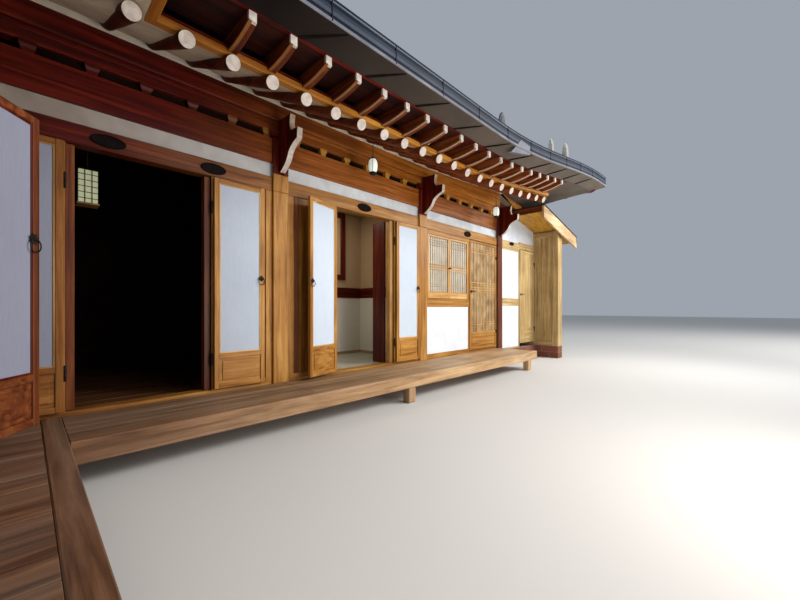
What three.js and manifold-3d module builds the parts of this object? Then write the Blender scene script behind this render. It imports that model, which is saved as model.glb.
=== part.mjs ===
// A courtyard hanok: a main range and a projecting wing under one tiled roof, with a lean-to at the right.
// Millimetres, +Z up. The origin is on the ground under the post where the two fronts meet.
// +X runs along the main front, -Y points into the courtyard.
import * as THREE from "three";
import { mergeVertices } from "three/addons/utils/BufferGeometryUtils.js";
import Module from "manifold-3d";

const wasm = await Module();
wasm.setup();

// Plan: one bay between post axes, the number of bays, and the depth of both ranges.
const BAY = 2400;
const FRONT_BAYS = 3;
const WING_BAYS = 2;
const FRONT = BAY * FRONT_BAYS;
const WING = BAY * WING_BAYS;
const DEPTH = BAY;
const POST = 180;
const HALF_POST = POST / 2;
const GAP = 0.3;

// Heights above the courtyard.
const BASE_TOP = 270;
const FLOOR = 330;
const SILL_TOP = 350;
const LINTEL = [2410, 2567];
const FRIEZE = [2567, 2718];
const HEAD_BEAM = [2718, 2990];
const BLOCK_TOP = 3070;
const PURLIN_TOP = 3385;
const CEILING = [2800, 2840];

// Walls between posts.
const WALL = 100;
const BEAM = 120;
const JAMB = 60;

// Veranda decks.
const DECK_TOP = 332;
const DECK_BEAM = 150;
const DECK_EDGE = 110;
const DECK_DEPTH = 765;
const WING_DECK_EDGE = 630;
const DECK_PLANK = 45;
const DECK_LEG = 120;

// Roof: overhang of the tiles from the post axes, the half width of each range's roof, and the corner rise.
const OVERHANG = 1500;
const HALF_DEPTH = DEPTH / 2;
const RUN = OVERHANG + HALF_DEPTH;
const RISE = 410;
const RISE_LENGTH = 4400;
const GUTTER_OUT = 1610;
const GUTTER_DEPTH = 180;
const GUTTER_BOTTOM = 3220;
const GABLE_INSET = 750;
const ROOF_TOP = { eave: 3360, slope: 0.36, bend: 9e-5 };
const ROOF_UNDER = [
  [0, 3180],
  [500, 3215],
  [850, 3290],
  [1500, 3570],
  [2100, 3900],
  [RUN, 4260],
];

// Rafters: round ones that end above the veranda, and square flying rafters that carry the eave on.
const RAFTER_PITCH = 300;
const RAFTER_RADIUS = 65;
const RAFTER_END = { out: 1060, z: 2940 };
const RAFTER_HEAD = { out: -180, z: 3552 };
const FLYING = { width: 80, height: 100, root: 990, end: 1390, z: 3090 };
const EAVE_BAR = { out: 1010, width: 60, height: 50, z: 2998, reach: 80 };
const EAVE_BOARD = { inner: 760, bend: 1000, innerThick: 60, bendThick: 85, outerThick: 55 };
const RAFTER_INSET = 186;
const SKIRT_INSET = 330;
const VALLEY_START = 900;
const VALLEY_END = 1600;
const PURLIN_WIDTH = 160;
const PURLIN_STUB = 450;
const PURLIN_STUB_DROP = 95;
const CORNER_RAFTER = { width: 150, height: 60, root: 230 };
const SKIRT_LEVEL = 1400;
const SKIRT_RAFTER_LIFT = 120;
const BRACKET = { root: -85, thick: 70, foot: 2600, lowerTip: -480, upperTip: -340, top: 3180 };
const REAR_WINDOW = { half: 450, bottom: 1150, top: 2140 };

// Bearing blocks under the front purlin.
const BLOCKS = { first: 455, pitch: 360, width: 100, count: 19 };

// Ridges on the tiles.
const RIDGE = { width: 220, height: 330 };
const SINK = 60;

// The ridges that run down from the gables and out to the corners: how far, and how high above the tiles.
const HIP_WIDTH = 190;
const DESCENT = [
  [-5, 260],
  [450, 260],
  [1000, 260],
  [1500, 275],
  [1790, 330],
];
const HIP_RUN = [
  [-GABLE_INSET - 100, 260],
  [-400, 260],
  [100, 270],
  [500, 310],
  [800, 400],
  [805, 290],
  [1010, 370],
];
const HIP_STEP = 4;
const END_TILE = { thick: 50, width: 240, rise: 430, hipRise: 300 };

// Door leaves: a hinge pin stands in front of the wall face by PIN_OUT.
const LEAF = { thick: 35, width: 500, bottom: 362, top: 2398 };
const STILE = 45;
const FIELD_DEPTH = 7;
const BOARD_SHARE = 0.155;
const PIN_OUT = 8;
const PIN_RADIUS = 8;
const PIN_CLEAR = 13;
const KNUCKLE = 60;
const HINGE_AT = [0.14, 0.86];

const BAY1_HINGES = [655, 1695];
const BAY2_HINGES = [3138, 4178];
const BAY2_LEFT_OPEN = 162;
const BAY3_DOOR_LEFT = 6120;
const BAY3_HINGE = 7094;
const WINDOW = { left: 4990, right: 6040, bottom: 1300, top: 2340, rail: 140 };
const WING_LEAF = { hinge: -1390, width: 745, bottom: 456, top: 2256, open: 35 };

// Lean-to at the right end, under a single slope that falls to the right.
const LEAN = {
  right: 8960,
  back: 1600,
  wallLeft: FRONT + HALF_POST + GAP,
  wall: 120,
  wingFront: -610,
  wingPost: 190,
  wingPostRight: 9110,
  roofLeft: 7900,
  roofRight: 9800,
  roofFront: -700,
  roofBack: 1760,
  thick: 150,
  high: 3294,
  rake: 40,
  rakeDepth: 280,
  fall: 0.22,
  lintel: 2450,
};
const LEAN_DOOR = { left: 8110, hinge: 8854 };

const WOOD = { color: 0xb8732a, roughness: 0.55, metalness: 0 };
const DARK_WOOD = { color: 0x5a1f12, roughness: 0.6, metalness: 0 };
const DECK_WOOD = { color: 0x8a5f3a, roughness: 0.65, metalness: 0 };
const PLASTER = { color: 0xe8e2d2, roughness: 0.9, metalness: 0 };
const PAPER = { color: 0xe9edf2, roughness: 0.85, metalness: 0 };
const MASONRY = { color: 0x7a4335, roughness: 0.9, metalness: 0 };
const TILE = { color: 0x4d5156, roughness: 0.8, metalness: 0 };
const GUTTER = { color: 0x4a5262, roughness: 0.4, metalness: 0.6 };

const house = new THREE.Group();

// A closed solid from a geometry, with only its places and faces kept.
function solid(geometry) {
  const bare = new THREE.BufferGeometry();
  const source = geometry.index ? geometry.toNonIndexed() : geometry;
  bare.setAttribute("position", source.getAttribute("position"));
  const merged = mergeVertices(bare, 1e-3);
  return new wasm.Manifold(
    new wasm.Mesh({
      numProp: 3,
      vertProperties: new Float32Array(merged.attributes.position.array),
      triVerts: new Uint32Array(merged.index.array),
    }),
  );
}

function geometryOf(made) {
  const mesh = made.getMesh();
  const geometry = new THREE.BufferGeometry();
  geometry.setAttribute("position", new THREE.BufferAttribute(mesh.vertProperties, 3));
  geometry.setIndex(new THREE.BufferAttribute(mesh.triVerts, 1));
  return geometry;
}

function join(geometries) {
  return geometryOf(geometries.map(solid).reduce((all, next) => all.add(next)));
}

function cut(geometry, holes) {
  return geometryOf(holes.map(solid).reduce((rest, hole) => rest.subtract(hole), solid(geometry)));
}

function node(name, geometry, look, parent = house) {
  const shown = geometry.index ? geometry.toNonIndexed() : geometry;
  shown.computeVertexNormals();
  const mesh = new THREE.Mesh(shown, new THREE.MeshStandardMaterial(look));
  mesh.name = name;
  parent.add(mesh);
  return mesh;
}

// A box between two corners.
function box([x0, y0, z0], [x1, y1, z1]) {
  const made = new THREE.BoxGeometry(x1 - x0, y1 - y0, z1 - z0);
  return made.translate((x0 + x1) / 2, (y0 + y1) / 2, (z0 + z1) / 2);
}

// An outline in plan, raised from one height to another.
function slab(outline, z0, z1) {
  const shape = new THREE.Shape(outline.map(([x, y]) => new THREE.Vector2(x, y)));
  const made = new THREE.ExtrudeGeometry(shape, { depth: z1 - z0, bevelEnabled: false });
  return made.translate(0, 0, z0);
}

// A skin over rings of points of one even count. Its ends are closed by strips across each ring.
function loft(rings) {
  const count = rings[0].length;
  const points = rings.flat(2);
  const faces = [];
  rings.slice(1).forEach((_, row) => {
    for (let i = 0; i < count; i += 1) {
      const a = row * count + i;
      const b = row * count + ((i + 1) % count);
      faces.push(a, b, b + count, a, b + count, a + count);
    }
  });
  const last = (rings.length - 1) * count;
  for (let i = 0; i < count / 2 - 1; i += 1) {
    const [a, b, c, d] = [i, i + 1, count - 2 - i, count - 1 - i];
    faces.push(a, c, b, a, d, c);
    faces.push(last + a, last + b, last + c, last + a, last + c, last + d);
  }
  const made = new THREE.BufferGeometry();
  made.setAttribute("position", new THREE.BufferAttribute(new Float32Array(points), 3));
  made.setIndex(faces);
  return solid(made).volume() > 0 ? made : flipped(made);
}

function flipped(geometry) {
  const faces = Array.from(geometry.index.array);
  for (let i = 0; i < faces.length; i += 3) {
    [faces[i + 1], faces[i + 2]] = [faces[i + 2], faces[i + 1]];
  }
  geometry.setIndex(faces);
  return geometry;
}

// A straight bar between two points with a section in its own across and up directions.
function bar(from, to, section) {
  const a = new THREE.Vector3(...from);
  const b = new THREE.Vector3(...to);
  const along = b.clone().sub(a).normalize();
  const across = new THREE.Vector3(-along.y, along.x, 0).normalize();
  const up = across.clone().cross(along).multiplyScalar(-1);
  const ring = (centre) =>
    section.map(([s, t]) => centre.clone().addScaledVector(across, s).addScaledVector(up, t).toArray());
  return loft([ring(a), ring(b)]);
}

const rectangle = (width, height) => [
  [-width / 2, -height / 2],
  [width / 2, -height / 2],
  [width / 2, height / 2],
  [-width / 2, height / 2],
];

const polygon = (radius, sides) =>
  Array.from({ length: sides }, (_, i) => {
    const angle = ((i + 0.5) * 2 * Math.PI) / sides;
    return [radius * Math.cos(angle), radius * Math.sin(angle)];
  });

// The six eaves, walked anticlockwise. Each starts at a post axis and faces outwards. The valley is the
// inner corner, a hip an outer one, and a gable the end of a gabled range.
const eave = (at, along, length, ends, kind = {}) => ({
  at,
  along,
  out: [along[1], -along[0]],
  length,
  ends,
  ...kind,
});

const SIDES = {
  front: eave([0, 0], [1, 0], FRONT, ["valley", "gable"], { flying: true }),
  right: eave([FRONT, 0], [0, 1], DEPTH, ["hip", "hip"], { skirt: true }),
  back: eave([FRONT, DEPTH], [-1, 0], FRONT + BAY, ["gable", "hip"]),
  outer: eave([-BAY, DEPTH], [0, -1], DEPTH + WING, ["hip", "gable"]),
  wing_end: eave([-BAY, -WING], [1, 0], BAY, ["hip", "hip"], { skirt: true }),
  inner: eave([0, -WING], [0, 1], WING, ["gable", "valley"], { flying: true }),
};

const place = (side, t, w, z) => [
  side.at[0] + side.along[0] * t + side.out[0] * w,
  side.at[1] + side.along[1] * t + side.out[1] * w,
  z,
];

const smooth = (x) => {
  const c = Math.min(1, Math.max(0, x));
  return c * c * (3 - 2 * c);
};

// How far a point of the eaves is lifted, from its place along the side and its distance out.
function rise(side, t, w) {
  const nearStart = side.ends[0] === "valley" ? Infinity : t + GUTTER_OUT;
  const nearEnd = side.ends[1] === "valley" ? Infinity : side.length + GUTTER_OUT - t;
  const near = Math.min(nearStart, nearEnd, side.skirt ? SKIRT_LEVEL : Infinity);
  const lift = RISE * smooth(1 - near / RISE_LENGTH);
  return lift * Math.min(1.05, (w + HALF_DEPTH) / RUN);
}

function roofTop(w) {
  const d = OVERHANG - w;
  return ROOF_TOP.eave + ROOF_TOP.slope * d + ROOF_TOP.bend * d * d;
}

function roofUnder(w) {
  const d = OVERHANG - w;
  const i = Math.max(1, ROOF_UNDER.findIndex(([at]) => d <= at));
  const [d0, z0] = ROOF_UNDER[i - 1];
  const [d1, z1] = ROOF_UNDER[i];
  return z0 + ((z1 - z0) * (d - d0)) / (d1 - d0);
}

// Where a row of the roof starts and ends along its side, at the distance w out from the post axes.
const rowStart = (side, w) => {
  if (side.ends[0] === "valley") return w;
  return side.ends[0] === "gable" ? Math.min(-w, GABLE_INSET) : -w;
};

const rowEnd = (side, w) => {
  if (side.ends[1] === "valley") return side.length - w;
  return side.ends[1] === "gable" ? Math.max(side.length + w, side.length - GABLE_INSET) : side.length + w;
};

// A strip along a side: each section point is a distance out and a height, lifted with the eaves.
function strip(side, sections, { steps = 12, from = 0, to = 0, start = rowStart, end = rowEnd } = {}) {
  const rings = Array.from({ length: steps + 1 }, (_, k) =>
    sections.map(([w, z]) => {
      const t0 = start(side, w) + from;
      const t1 = end(side, w) - to;
      const t = t0 + ((t1 - t0) * k) / steps;
      return place(side, t, w, z + rise(side, t, w));
    }),
  );
  return loft(rings);
}

// One slope of tiles on boards, as a thick curved sheet, short of its neighbours by the edge.
function slope(side, innerRow, edge) {
  const rows = [0, 500, 850, 1500, 2100, 2250, RUN].filter((d) => d <= innerRow);
  const outs = rows.map((d) => OVERHANG - d);
  outs[outs.length - 1] += edge;
  const top = outs.map((w) => [w, roofTop(w)]);
  const under = outs.map((w) => [w, roofUnder(w)]).reverse();
  return strip(side, [...top, ...under], { from: edge, to: edge });
}

function gutter(side, from, to) {
  const b = GUTTER_BOTTOM;
  const outer = GUTTER_OUT;
  const inner = OVERHANG + GAP;
  const sheet = 12;
  const section = [
    [outer, b + GUTTER_DEPTH],
    [outer, b],
    [inner, b],
    [inner, b + GUTTER_DEPTH - 40],
    [inner + sheet, b + GUTTER_DEPTH - 40],
    [inner + sheet, b + sheet],
    [outer - sheet, b + sheet],
    [outer - sheet, b + GUTTER_DEPTH],
  ];
  return strip(side, section, { from, to });
}

// Where the parallel rafters of a side stand: they stop short of the corners, which are sheeted below.
function rafterPlaces(side) {
  const [start, end] = side.ends;
  const inset = side.skirt ? SKIRT_INSET : RAFTER_INSET;
  const first = start === "valley" ? VALLEY_START : inset;
  const last = side.length - (end === "valley" ? VALLEY_END : inset);
  const count = Math.round((last - first) / RAFTER_PITCH);
  return Array.from({ length: count + 1 }, (_, k) => first + ((last - first) * k) / count);
}

function rafters(side) {
  return rafterPlaces(side).flatMap((t) => {
    const point = (w, z) => place(side, t, w, z + rise(side, t, w));
    const { out, z } = RAFTER_END;
    const lift = side.skirt ? SKIRT_RAFTER_LIFT : 0;
    const section = polygon(RAFTER_RADIUS, side === SIDES.front ? 6 : 4);
    const round = bar(point(RAFTER_HEAD.out, RAFTER_HEAD.z), point(out, z + lift), section);
    const fromValley = side.ends[0] === "valley" ? t : side.length - t;
    const end = Math.min(FLYING.end, fromValley - FLYING.width);
    if (!side.flying || end < FLYING.root + FLYING.width) return [round];
    const square = rectangle(FLYING.width, FLYING.height);
    return [round, bar(point(FLYING.root, FLYING.z), point(end, FLYING.z), square)];
  });
}

// The board that closes the eave over the flying rafters, hugging the underside of the roof.
function eaveBoard(side, from, to) {
  const under = (w) => roofUnder(w) + 3;
  const outer = OVERHANG - 4;
  const { inner, bend, innerThick, bendThick, outerThick } = EAVE_BOARD;
  const section = [
    [outer, under(outer)],
    [bend, under(bend)],
    [inner, under(inner)],
    [inner, under(inner) - innerThick],
    [bend, under(bend) - bendThick],
    [outer, under(outer) - outerThick],
  ];
  return strip(side, section, { from, to, steps: side.flying ? 12 : 6 });
}

function eaveBar(side, from, to) {
  const { out, width, height, z, reach } = EAVE_BAR;
  const section = [
    [out - width / 2, z],
    [out + width / 2, z],
    [out + width / 2, z + height],
    [out - width / 2, z + height],
  ];
  const start = side.ends[0] === "valley" ? rowStart : () => -reach;
  const end = side.ends[1] === "valley" ? rowEnd : () => side.length + reach;
  return strip(side, section, { from, to, steps: 6, start, end });
}

// The purlin on the post line, with the filler that lifts the rafters towards a corner.
function purlin(side, bottom, startAt, endAt) {
  const half = PURLIN_WIDTH / 2;
  const steps = 6;
  const rings = Array.from({ length: steps + 1 }, (_, k) => {
    const t = startAt + ((endAt - startAt) * k) / steps;
    const top = PURLIN_TOP + rise(side, t, 0);
    return [
      place(side, t, -half, bottom),
      place(side, t, half, bottom),
      place(side, t, half, top),
      place(side, t, -half, top),
    ];
  });
  return loft(rings);
}

// A corner rafter from the crossing of two purlins to the tip of the eaves, at the end of a side.
function cornerRafter(side) {
  const outs = [-60, 0, 650, 1000, OVERHANG - 60];
  const half = CORNER_RAFTER.width / 2 / Math.SQRT2;
  const rings = outs.map((w) => {
    const top = roofUnder(w) + rise(side, side.length + w, w) + 3;
    const bottom = top - (w > 0 ? CORNER_RAFTER.height : CORNER_RAFTER.root);
    const ends = [
      [w - half, half],
      [w + half, -half],
    ];
    const [low, high] = ends.map(([out, shift]) => [side.length + w + shift, out]);
    return [
      place(side, low[0], low[1], bottom),
      place(side, high[0], high[1], bottom),
      place(side, high[0], high[1], top),
      place(side, low[0], low[1], top),
    ];
  });
  return loft(rings);
}

// A ridge of stacked tiles through points that each give a place, the height there and that of the ridge.
function ridgeBar(points, width) {
  const rings = points.map(([x, y, z, height], i) => {
    const before = points[Math.max(0, i - 1)];
    const after = points[Math.min(points.length - 1, i + 1)];
    const run = new THREE.Vector2(after[0] - before[0], after[1] - before[1]).normalize();
    const [sx, sy] = [(-run.y * width) / 2, (run.x * width) / 2];
    const narrow = 0.7;
    return [
      [x - sx, y - sy, z],
      [x + sx, y + sy, z],
      [x + sx * narrow, y + sy * narrow, z + height],
      [x - sx * narrow, y - sy * narrow, z + height],
    ];
  });
  return loft(rings);
}

// The shield tile that closes a ridge, upright across the ridge's direction.
function endTile([x, y, z, height], [ux, uy], rise) {
  const { thick, width } = END_TILE;
  const half = [
    [-0.5, 0],
    [-0.5, 0.7],
    [-0.28, 0.93],
    [-0.06, 1],
  ];
  const shield = [...half, ...half.toReversed().map(([across, up]) => [-across, up])];
  const ring = (out) =>
    shield.map(([across, up]) => [
      x + ux * out - uy * width * across,
      y + uy * out + ux * width * across,
      z + (height + rise) * up,
    ]);
  return loft([ring(-thick / 2), ring(thick / 2)]);
}

// The masonry base: both ranges stand on it, the floor a step higher inside, with a sill under each front.
function base() {
  const inside = HALF_POST + GAP;
  const mainSills = [0, 1, 2].map((bay) => {
    const x0 = bay * BAY + inside;
    return box([x0, -BEAM / 2, BASE_TOP - SINK], [x0 + BAY - 2 * inside, BEAM / 2, SILL_TOP]);
  });
  const wingSill = box([-BEAM / 2, -WING + inside, BASE_TOP - SINK], [BEAM / 2, -inside, SILL_TOP]);
  const l = WALL / 2 + GAP;
  const floor = [
    [-BAY + l, -WING + l],
    [-inside, -WING + l],
    [-inside, inside],
    [FRONT - l, inside],
    [FRONT - l, DEPTH - l],
    [-BAY + l, DEPTH - l],
  ];
  const outline = [
    [-BAY - HALF_POST, -WING - HALF_POST],
    [HALF_POST, -WING - HALF_POST],
    [HALF_POST, -HALF_POST],
    [FRONT + HALF_POST, -HALF_POST],
    [FRONT + HALF_POST, DEPTH + HALF_POST],
    [-BAY - HALF_POST, DEPTH + HALF_POST],
  ];
  return join([slab(outline, 0, BASE_TOP), slab(floor, BASE_TOP - SINK, FLOOR), ...mainSills, wingSill]);
}

// An ogee bracket on the front of a post, in two tiers under the purlin.
function bracket(x) {
  const { root, foot, lowerTip, upperTip, top, thick } = BRACKET;
  const shape = new THREE.Shape();
  shape.moveTo(root, foot);
  shape.quadraticCurveTo(-260, foot + 80, -300, foot + 190);
  shape.quadraticCurveTo(-360, foot + 250, lowerTip + 10, foot + 280);
  shape.lineTo(lowerTip, foot + 385);
  shape.lineTo(lowerTip + 130, foot + 395);
  shape.quadraticCurveTo(upperTip + 40, foot + 460, upperTip, top - 10);
  shape.lineTo(root, top);
  shape.closePath();
  const made = new THREE.ExtrudeGeometry(shape, { depth: thick, bevelEnabled: false, curveSegments: 3 });
  return made
    .rotateX(Math.PI / 2)
    .rotateZ(Math.PI / 2)
    .translate(x - thick / 2, 0, 0);
}

// A front post, forked at the top to take the lintel, frieze and head beam.
function post(x, { forked = true, extras = [] } = {}) {
  const whole = box([x - HALF_POST, -HALF_POST, BASE_TOP + GAP], [x + HALF_POST, HALF_POST, HEAD_BEAM[1]]);
  const half = BEAM / 2 + GAP;
  const fork = box([x - POST, -half, LINTEL[0] - GAP], [x + POST, half, HEAD_BEAM[1] + POST]);
  const trunk = forked ? cut(whole, [fork]) : whole;
  return join([trunk, ...(forked ? [bracket(x)] : []), ...extras]);
}

const hingeHeights = (bottom, top) => HINGE_AT.map((share) => bottom + (top - bottom) * share);

function pin(z0, z1) {
  const made = new THREE.CylinderGeometry(PIN_RADIUS, PIN_RADIUS, z1 - z0, 10);
  return made.rotateX(Math.PI / 2).translate(0, 0, (z0 + z1) / 2);
}

// The jamb's halves of the hinges, below the leaf's; side is +1 for a leaf that closes towards +X.
function jambKnuckles(side, bottom, top, reach = 0) {
  return hingeHeights(bottom, top).flatMap((z) => {
    const [z0, z1] = [z - KNUCKLE - GAP, z - GAP];
    const [x0, x1] = [-side * (PIN_RADIUS + reach), 0].sort((a, b) => a - b);
    return [pin(z0, z1), box([x0, -2, z0], [x1, PIN_OUT + 2, z1])];
  });
}

// A door leaf about its hinge pin: frame, sunk paper field, sunk board below, and its halves of the hinges.
function leaf(side, width, bottom, top) {
  const { thick } = LEAF;
  const span = (a, b) => [side * (PIN_CLEAR + a), side * (PIN_CLEAR + b)].sort((p, q) => p - q);
  const piece = ([x0, x1], y0, y1, z0, z1) => box([x0, y0, z0], [x1, y1, z1]);
  const inner = span(STILE, width - STILE);
  const split = bottom + (top - bottom) * BOARD_SHARE;
  const fields = [
    [split + STILE / 2, top - STILE],
    [bottom + STILE, split - STILE / 2],
  ];
  const recesses = fields.flatMap(([z0, z1]) => [
    piece(inner, -1, FIELD_DEPTH, z0, z1),
    piece(inner, thick - FIELD_DEPTH, thick + 1, z0, z1),
  ]);
  const body = cut(piece(span(0, width), 0, thick, bottom, top), recesses);
  const knuckles = hingeHeights(bottom, top).flatMap((z) => [
    pin(z, z + KNUCKLE),
    piece([0, side * (PIN_CLEAR + 2)].sort((p, q) => p - q), 0, 6, z, z + KNUCKLE),
  ]);
  return join([body, ...knuckles]);
}

const PIN_Y = -BEAM / 2 - PIN_OUT;

function hungLeaf(name, geometry, x, y, turn) {
  const mesh = node(name, geometry, PAPER);
  mesh.position.set(x, y, 0);
  mesh.rotation.z = THREE.MathUtils.degToRad(turn);
}

// A wall panel of a front bay with its jamb towards the doorway.
function frontPanel(x0, x1, hinges) {
  const [z0, z1] = [SILL_TOP + GAP, LINTEL[0] - GAP];
  const field = box([x0, -WALL / 2, z0], [x1, WALL / 2, z1]);
  const jambs = hinges.map(({ x, side }) => {
    const [a, b] = [x, x - side * JAMB].sort((p, q) => p - q);
    return box([a, -BEAM / 2, z0], [b, BEAM / 2, z1]);
  });
  const knuckles = hinges.flatMap(({ x, side }) =>
    jambKnuckles(side, LEAF.bottom, LEAF.top).map((g) => g.translate(x, PIN_Y, 0)),
  );
  return join([field, ...jambs, ...knuckles]);
}

// The window wall of the third bay: a dado, a rail, and two lattice casements in their frame.
function windowWall() {
  const [z0, z1] = [SILL_TOP + GAP, LINTEL[0] - GAP];
  const x0 = 2 * BAY + HALF_POST + GAP;
  const x1 = BAY3_DOOR_LEFT;
  const { left, right, bottom, top, rail: deep } = WINDOW;
  const middle = (left + right) / 2;
  const wall = box([x0, -WALL / 2, z0], [x1, WALL / 2, z1]);
  const rail = box([x0, -BEAM / 2, bottom - deep], [x1, BEAM / 2, bottom]);
  const frame = box([left - JAMB, -BEAM / 2, bottom - 10], [right + JAMB, BEAM / 2, top + JAMB]);
  const panes = [
    [left + STILE, middle - STILE],
    [middle + STILE, right - STILE],
  ].map(([a, b]) => box([a, -BEAM, bottom + STILE], [b, -BEAM / 2 + 25, top - STILE]));
  const inside = [
    [left + STILE, middle - STILE],
    [middle + STILE, right - STILE],
  ].map(([a, b]) => box([a, -BEAM / 2 + 37, bottom + STILE], [b, BEAM, top - STILE]));
  return cut(join([wall, rail, frame]), [...panes, ...inside]);
}

const frontBeam = ([z0, z1], depth = BEAM) =>
  box([HALF_POST + GAP, -depth / 2, z0 + GAP], [FRONT + HALF_POST, depth / 2, z1]);

// A hidden wall: plaster between posts, with the timbers standing proud outside and windows cut through.
function hiddenWall(side, t0, t1, windows = []) {
  const [z0, z1] = [BASE_TOP + GAP, HEAD_BEAM[1]];
  const block = (a, b, w0, w1, low, high) => {
    const p = place(side, a, w0, 0);
    const q = place(side, b, w1, 0);
    const from = [Math.min(p[0], q[0]), Math.min(p[1], q[1]), low];
    return box(from, [Math.max(p[0], q[0]), Math.max(p[1], q[1]), high]);
  };
  const face = WALL / 2;
  const posts = Array.from({ length: Math.round(side.length / BAY) + 1 }, (_, k) => k * BAY)
    .map((t) => [Math.max(t0, t - HALF_POST), Math.min(t1, t + HALF_POST)])
    .filter(([a, b]) => b > a)
    .map(([a, b]) => block(a, b, face - 1, HALF_POST, z0, z1));
  const rails = [[z0, 400], [1060, 1150], [2140, 2250], HEAD_BEAM].map(([low, high]) =>
    block(t0, t1, face - 1, face + 20, low, high),
  );
  const walls = join([block(t0, t1, -face, face, z0, z1), ...posts, ...rails]);
  const holes = windows.map((t) =>
    block(t - REAR_WINDOW.half, t + REAR_WINDOW.half, -WALL, WALL, REAR_WINDOW.bottom, REAR_WINDOW.top),
  );
  return holes.length ? cut(walls, holes) : walls;
}

// A lattice window that fills a hole in a hidden wall.
function rearWindow(side, t) {
  const edge = REAR_WINDOW.half - GAP;
  const p = place(side, t - edge, -20, 0);
  const q = place(side, t + edge, 20, 0);
  const from = [Math.min(p[0], q[0]), Math.min(p[1], q[1]), REAR_WINDOW.bottom + GAP];
  return box(from, [Math.max(p[0], q[0]), Math.max(p[1], q[1]), REAR_WINDOW.top - GAP]);
}

// The slope of the lean-to roof, and what rises to it.
const leanTop = (x) => LEAN.high - LEAN.fall * (x - LEAN.roofLeft);
const leanUnder = (x) => leanTop(x) - LEAN.thick;

function leanBlock(x0, x1, y0, y1, z0) {
  const ring = (x) => {
    const top = x < LEAN.roofLeft ? BLOCK_TOP - 2 * GAP : leanUnder(x) - GAP;
    return [
      [x, y0, z0],
      [x, y1, z0],
      [x, y1, top],
      [x, y0, top],
    ];
  };
  const stub = FRONT + PURLIN_STUB + HALF_POST;
  const xs = x0 < stub ? [x0, stub, LEAN.roofLeft, x1] : [x0, x1];
  return loft(xs.map(ring));
}

function leanRoof() {
  const { roofLeft, roofRight, roofFront, roofBack, thick } = LEAN;
  const plank = (y0, y1, deep) => {
    const ring = (x) => [
      [x, y0, leanTop(x) - deep],
      [x, y1, leanTop(x) - deep],
      [x, y1, leanTop(x)],
      [x, y0, leanTop(x)],
    ];
    return loft([ring(roofLeft), ring(roofRight)]);
  };
  const { rake, rakeDepth } = LEAN;
  return join([
    plank(roofFront, roofBack, thick),
    plank(roofFront, roofFront + rake, rakeDepth),
    plank(roofBack - rake, roofBack, rakeDepth),
  ]);
}

// A deck: boards on an edge beam with legs down to the ground.
function deck([x0, y0], [x1, y1], beam, legs) {
  const boards = box([x0, y0, DECK_TOP - DECK_PLANK], [x1, y1, DECK_TOP]);
  const [halfLeg, halfEdge] = [DECK_LEG / 2, DECK_EDGE / 2];
  const feet = legs.map(([x, y]) =>
    box([x - halfLeg, y - halfEdge, 0], [x + halfLeg, y + halfEdge, DECK_TOP - DECK_PLANK]),
  );
  return join([boards, box(...beam), ...feet]);
}

// The height of the tiles above a point, given out from an end wall line and across from the ridge line.
function tileHeight(out, across) {
  const w = Math.abs(across) - HALF_DEPTH;
  const level = out > -GABLE_INSET ? Math.max(out, w) : w;
  const near = level === w ? GUTTER_OUT - out : GUTTER_OUT - w;
  const lift = RISE * smooth(1 - near / RISE_LENGTH) * ((level + HALF_DEPTH) / RUN);
  return roofTop(level) + lift;
}

// A hip ridge steps down near its foot, and carries an end tile at the step and at the foot.
const hipTiles = (hip, slant) => [HIP_STEP, -1].map((i) => endTile(hip.at(i), slant, END_TILE.hipRise));

// The descending ridges and hip ridges at one gabled end.
function endRidges([cx, cy], [ux, uy]) {
  const [vx, vy] = [-uy, ux];
  const point = (out, across, height) => [
    cx + ux * out + vx * across,
    cy + uy * out + vy * across,
    tileHeight(out, across) - SINK,
    height + SINK,
  ];
  const parts = [-1, 1].flatMap((hand) => {
    const at = -GABLE_INSET - HIP_WIDTH / 2 - GAP;
    const fall = DESCENT.map(([across, height]) => point(at, hand * across, height));
    const hip = HIP_RUN.map(([out, height]) => point(out, hand * (out + HALF_DEPTH), height));
    const slant = [(ux + vx * hand) / Math.SQRT2, (uy + vy * hand) / Math.SQRT2];
    return [
      ridgeBar(fall, HIP_WIDTH),
      endTile(fall.at(-1), [vx * hand, vy * hand], END_TILE.rise),
      ridgeBar(hip, HIP_WIDTH),
      ...hipTiles(hip, slant),
    ];
  });
  return join(parts);
}

function mainRidges() {
  const top = roofTop(-HALF_DEPTH) - SINK;
  const tall = RIDGE.height + SINK;
  const end = GABLE_INSET + HIP_WIDTH + 2 * GAP;
  const along = [
    [FRONT - end, HALF_DEPTH, top, tall],
    [-HALF_DEPTH + 1, HALF_DEPTH, top, tall],
  ];
  const down = [
    [-HALF_DEPTH, HALF_DEPTH + RIDGE.width / 2, top, tall],
    [-HALF_DEPTH, -WING + end, top, tall],
  ];
  const cornerRun = [[-HALF_DEPTH, HIP_RUN[0][1]], ...HIP_RUN.slice(1)];
  const corner = cornerRun.map(([out, height]) => [
    -BAY - out,
    DEPTH + out,
    tileHeight(out, out + HALF_DEPTH) - SINK,
    height + SINK,
  ]);
  return join([
    ridgeBar(along, RIDGE.width),
    ridgeBar(down, RIDGE.width),
    ridgeBar(corner, HIP_WIDTH),
    ...hipTiles(corner, [-Math.SQRT1_2, Math.SQRT1_2]),
  ]);
}

function roofSlopes(edge) {
  const { front, right, back, outer, wing_end: wingEnd, inner } = SIDES;
  return {
    main_front_roof: slope(front, RUN, edge),
    right_skirt_roof: slope(right, OVERHANG + GABLE_INSET, edge),
    main_back_roof: slope(back, RUN, edge),
    wing_outer_roof: slope(outer, RUN, edge),
    wing_end_skirt_roof: slope(wingEnd, OVERHANG + GABLE_INSET, edge),
    wing_inner_roof: slope(inner, RUN, edge),
  };
}

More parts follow.
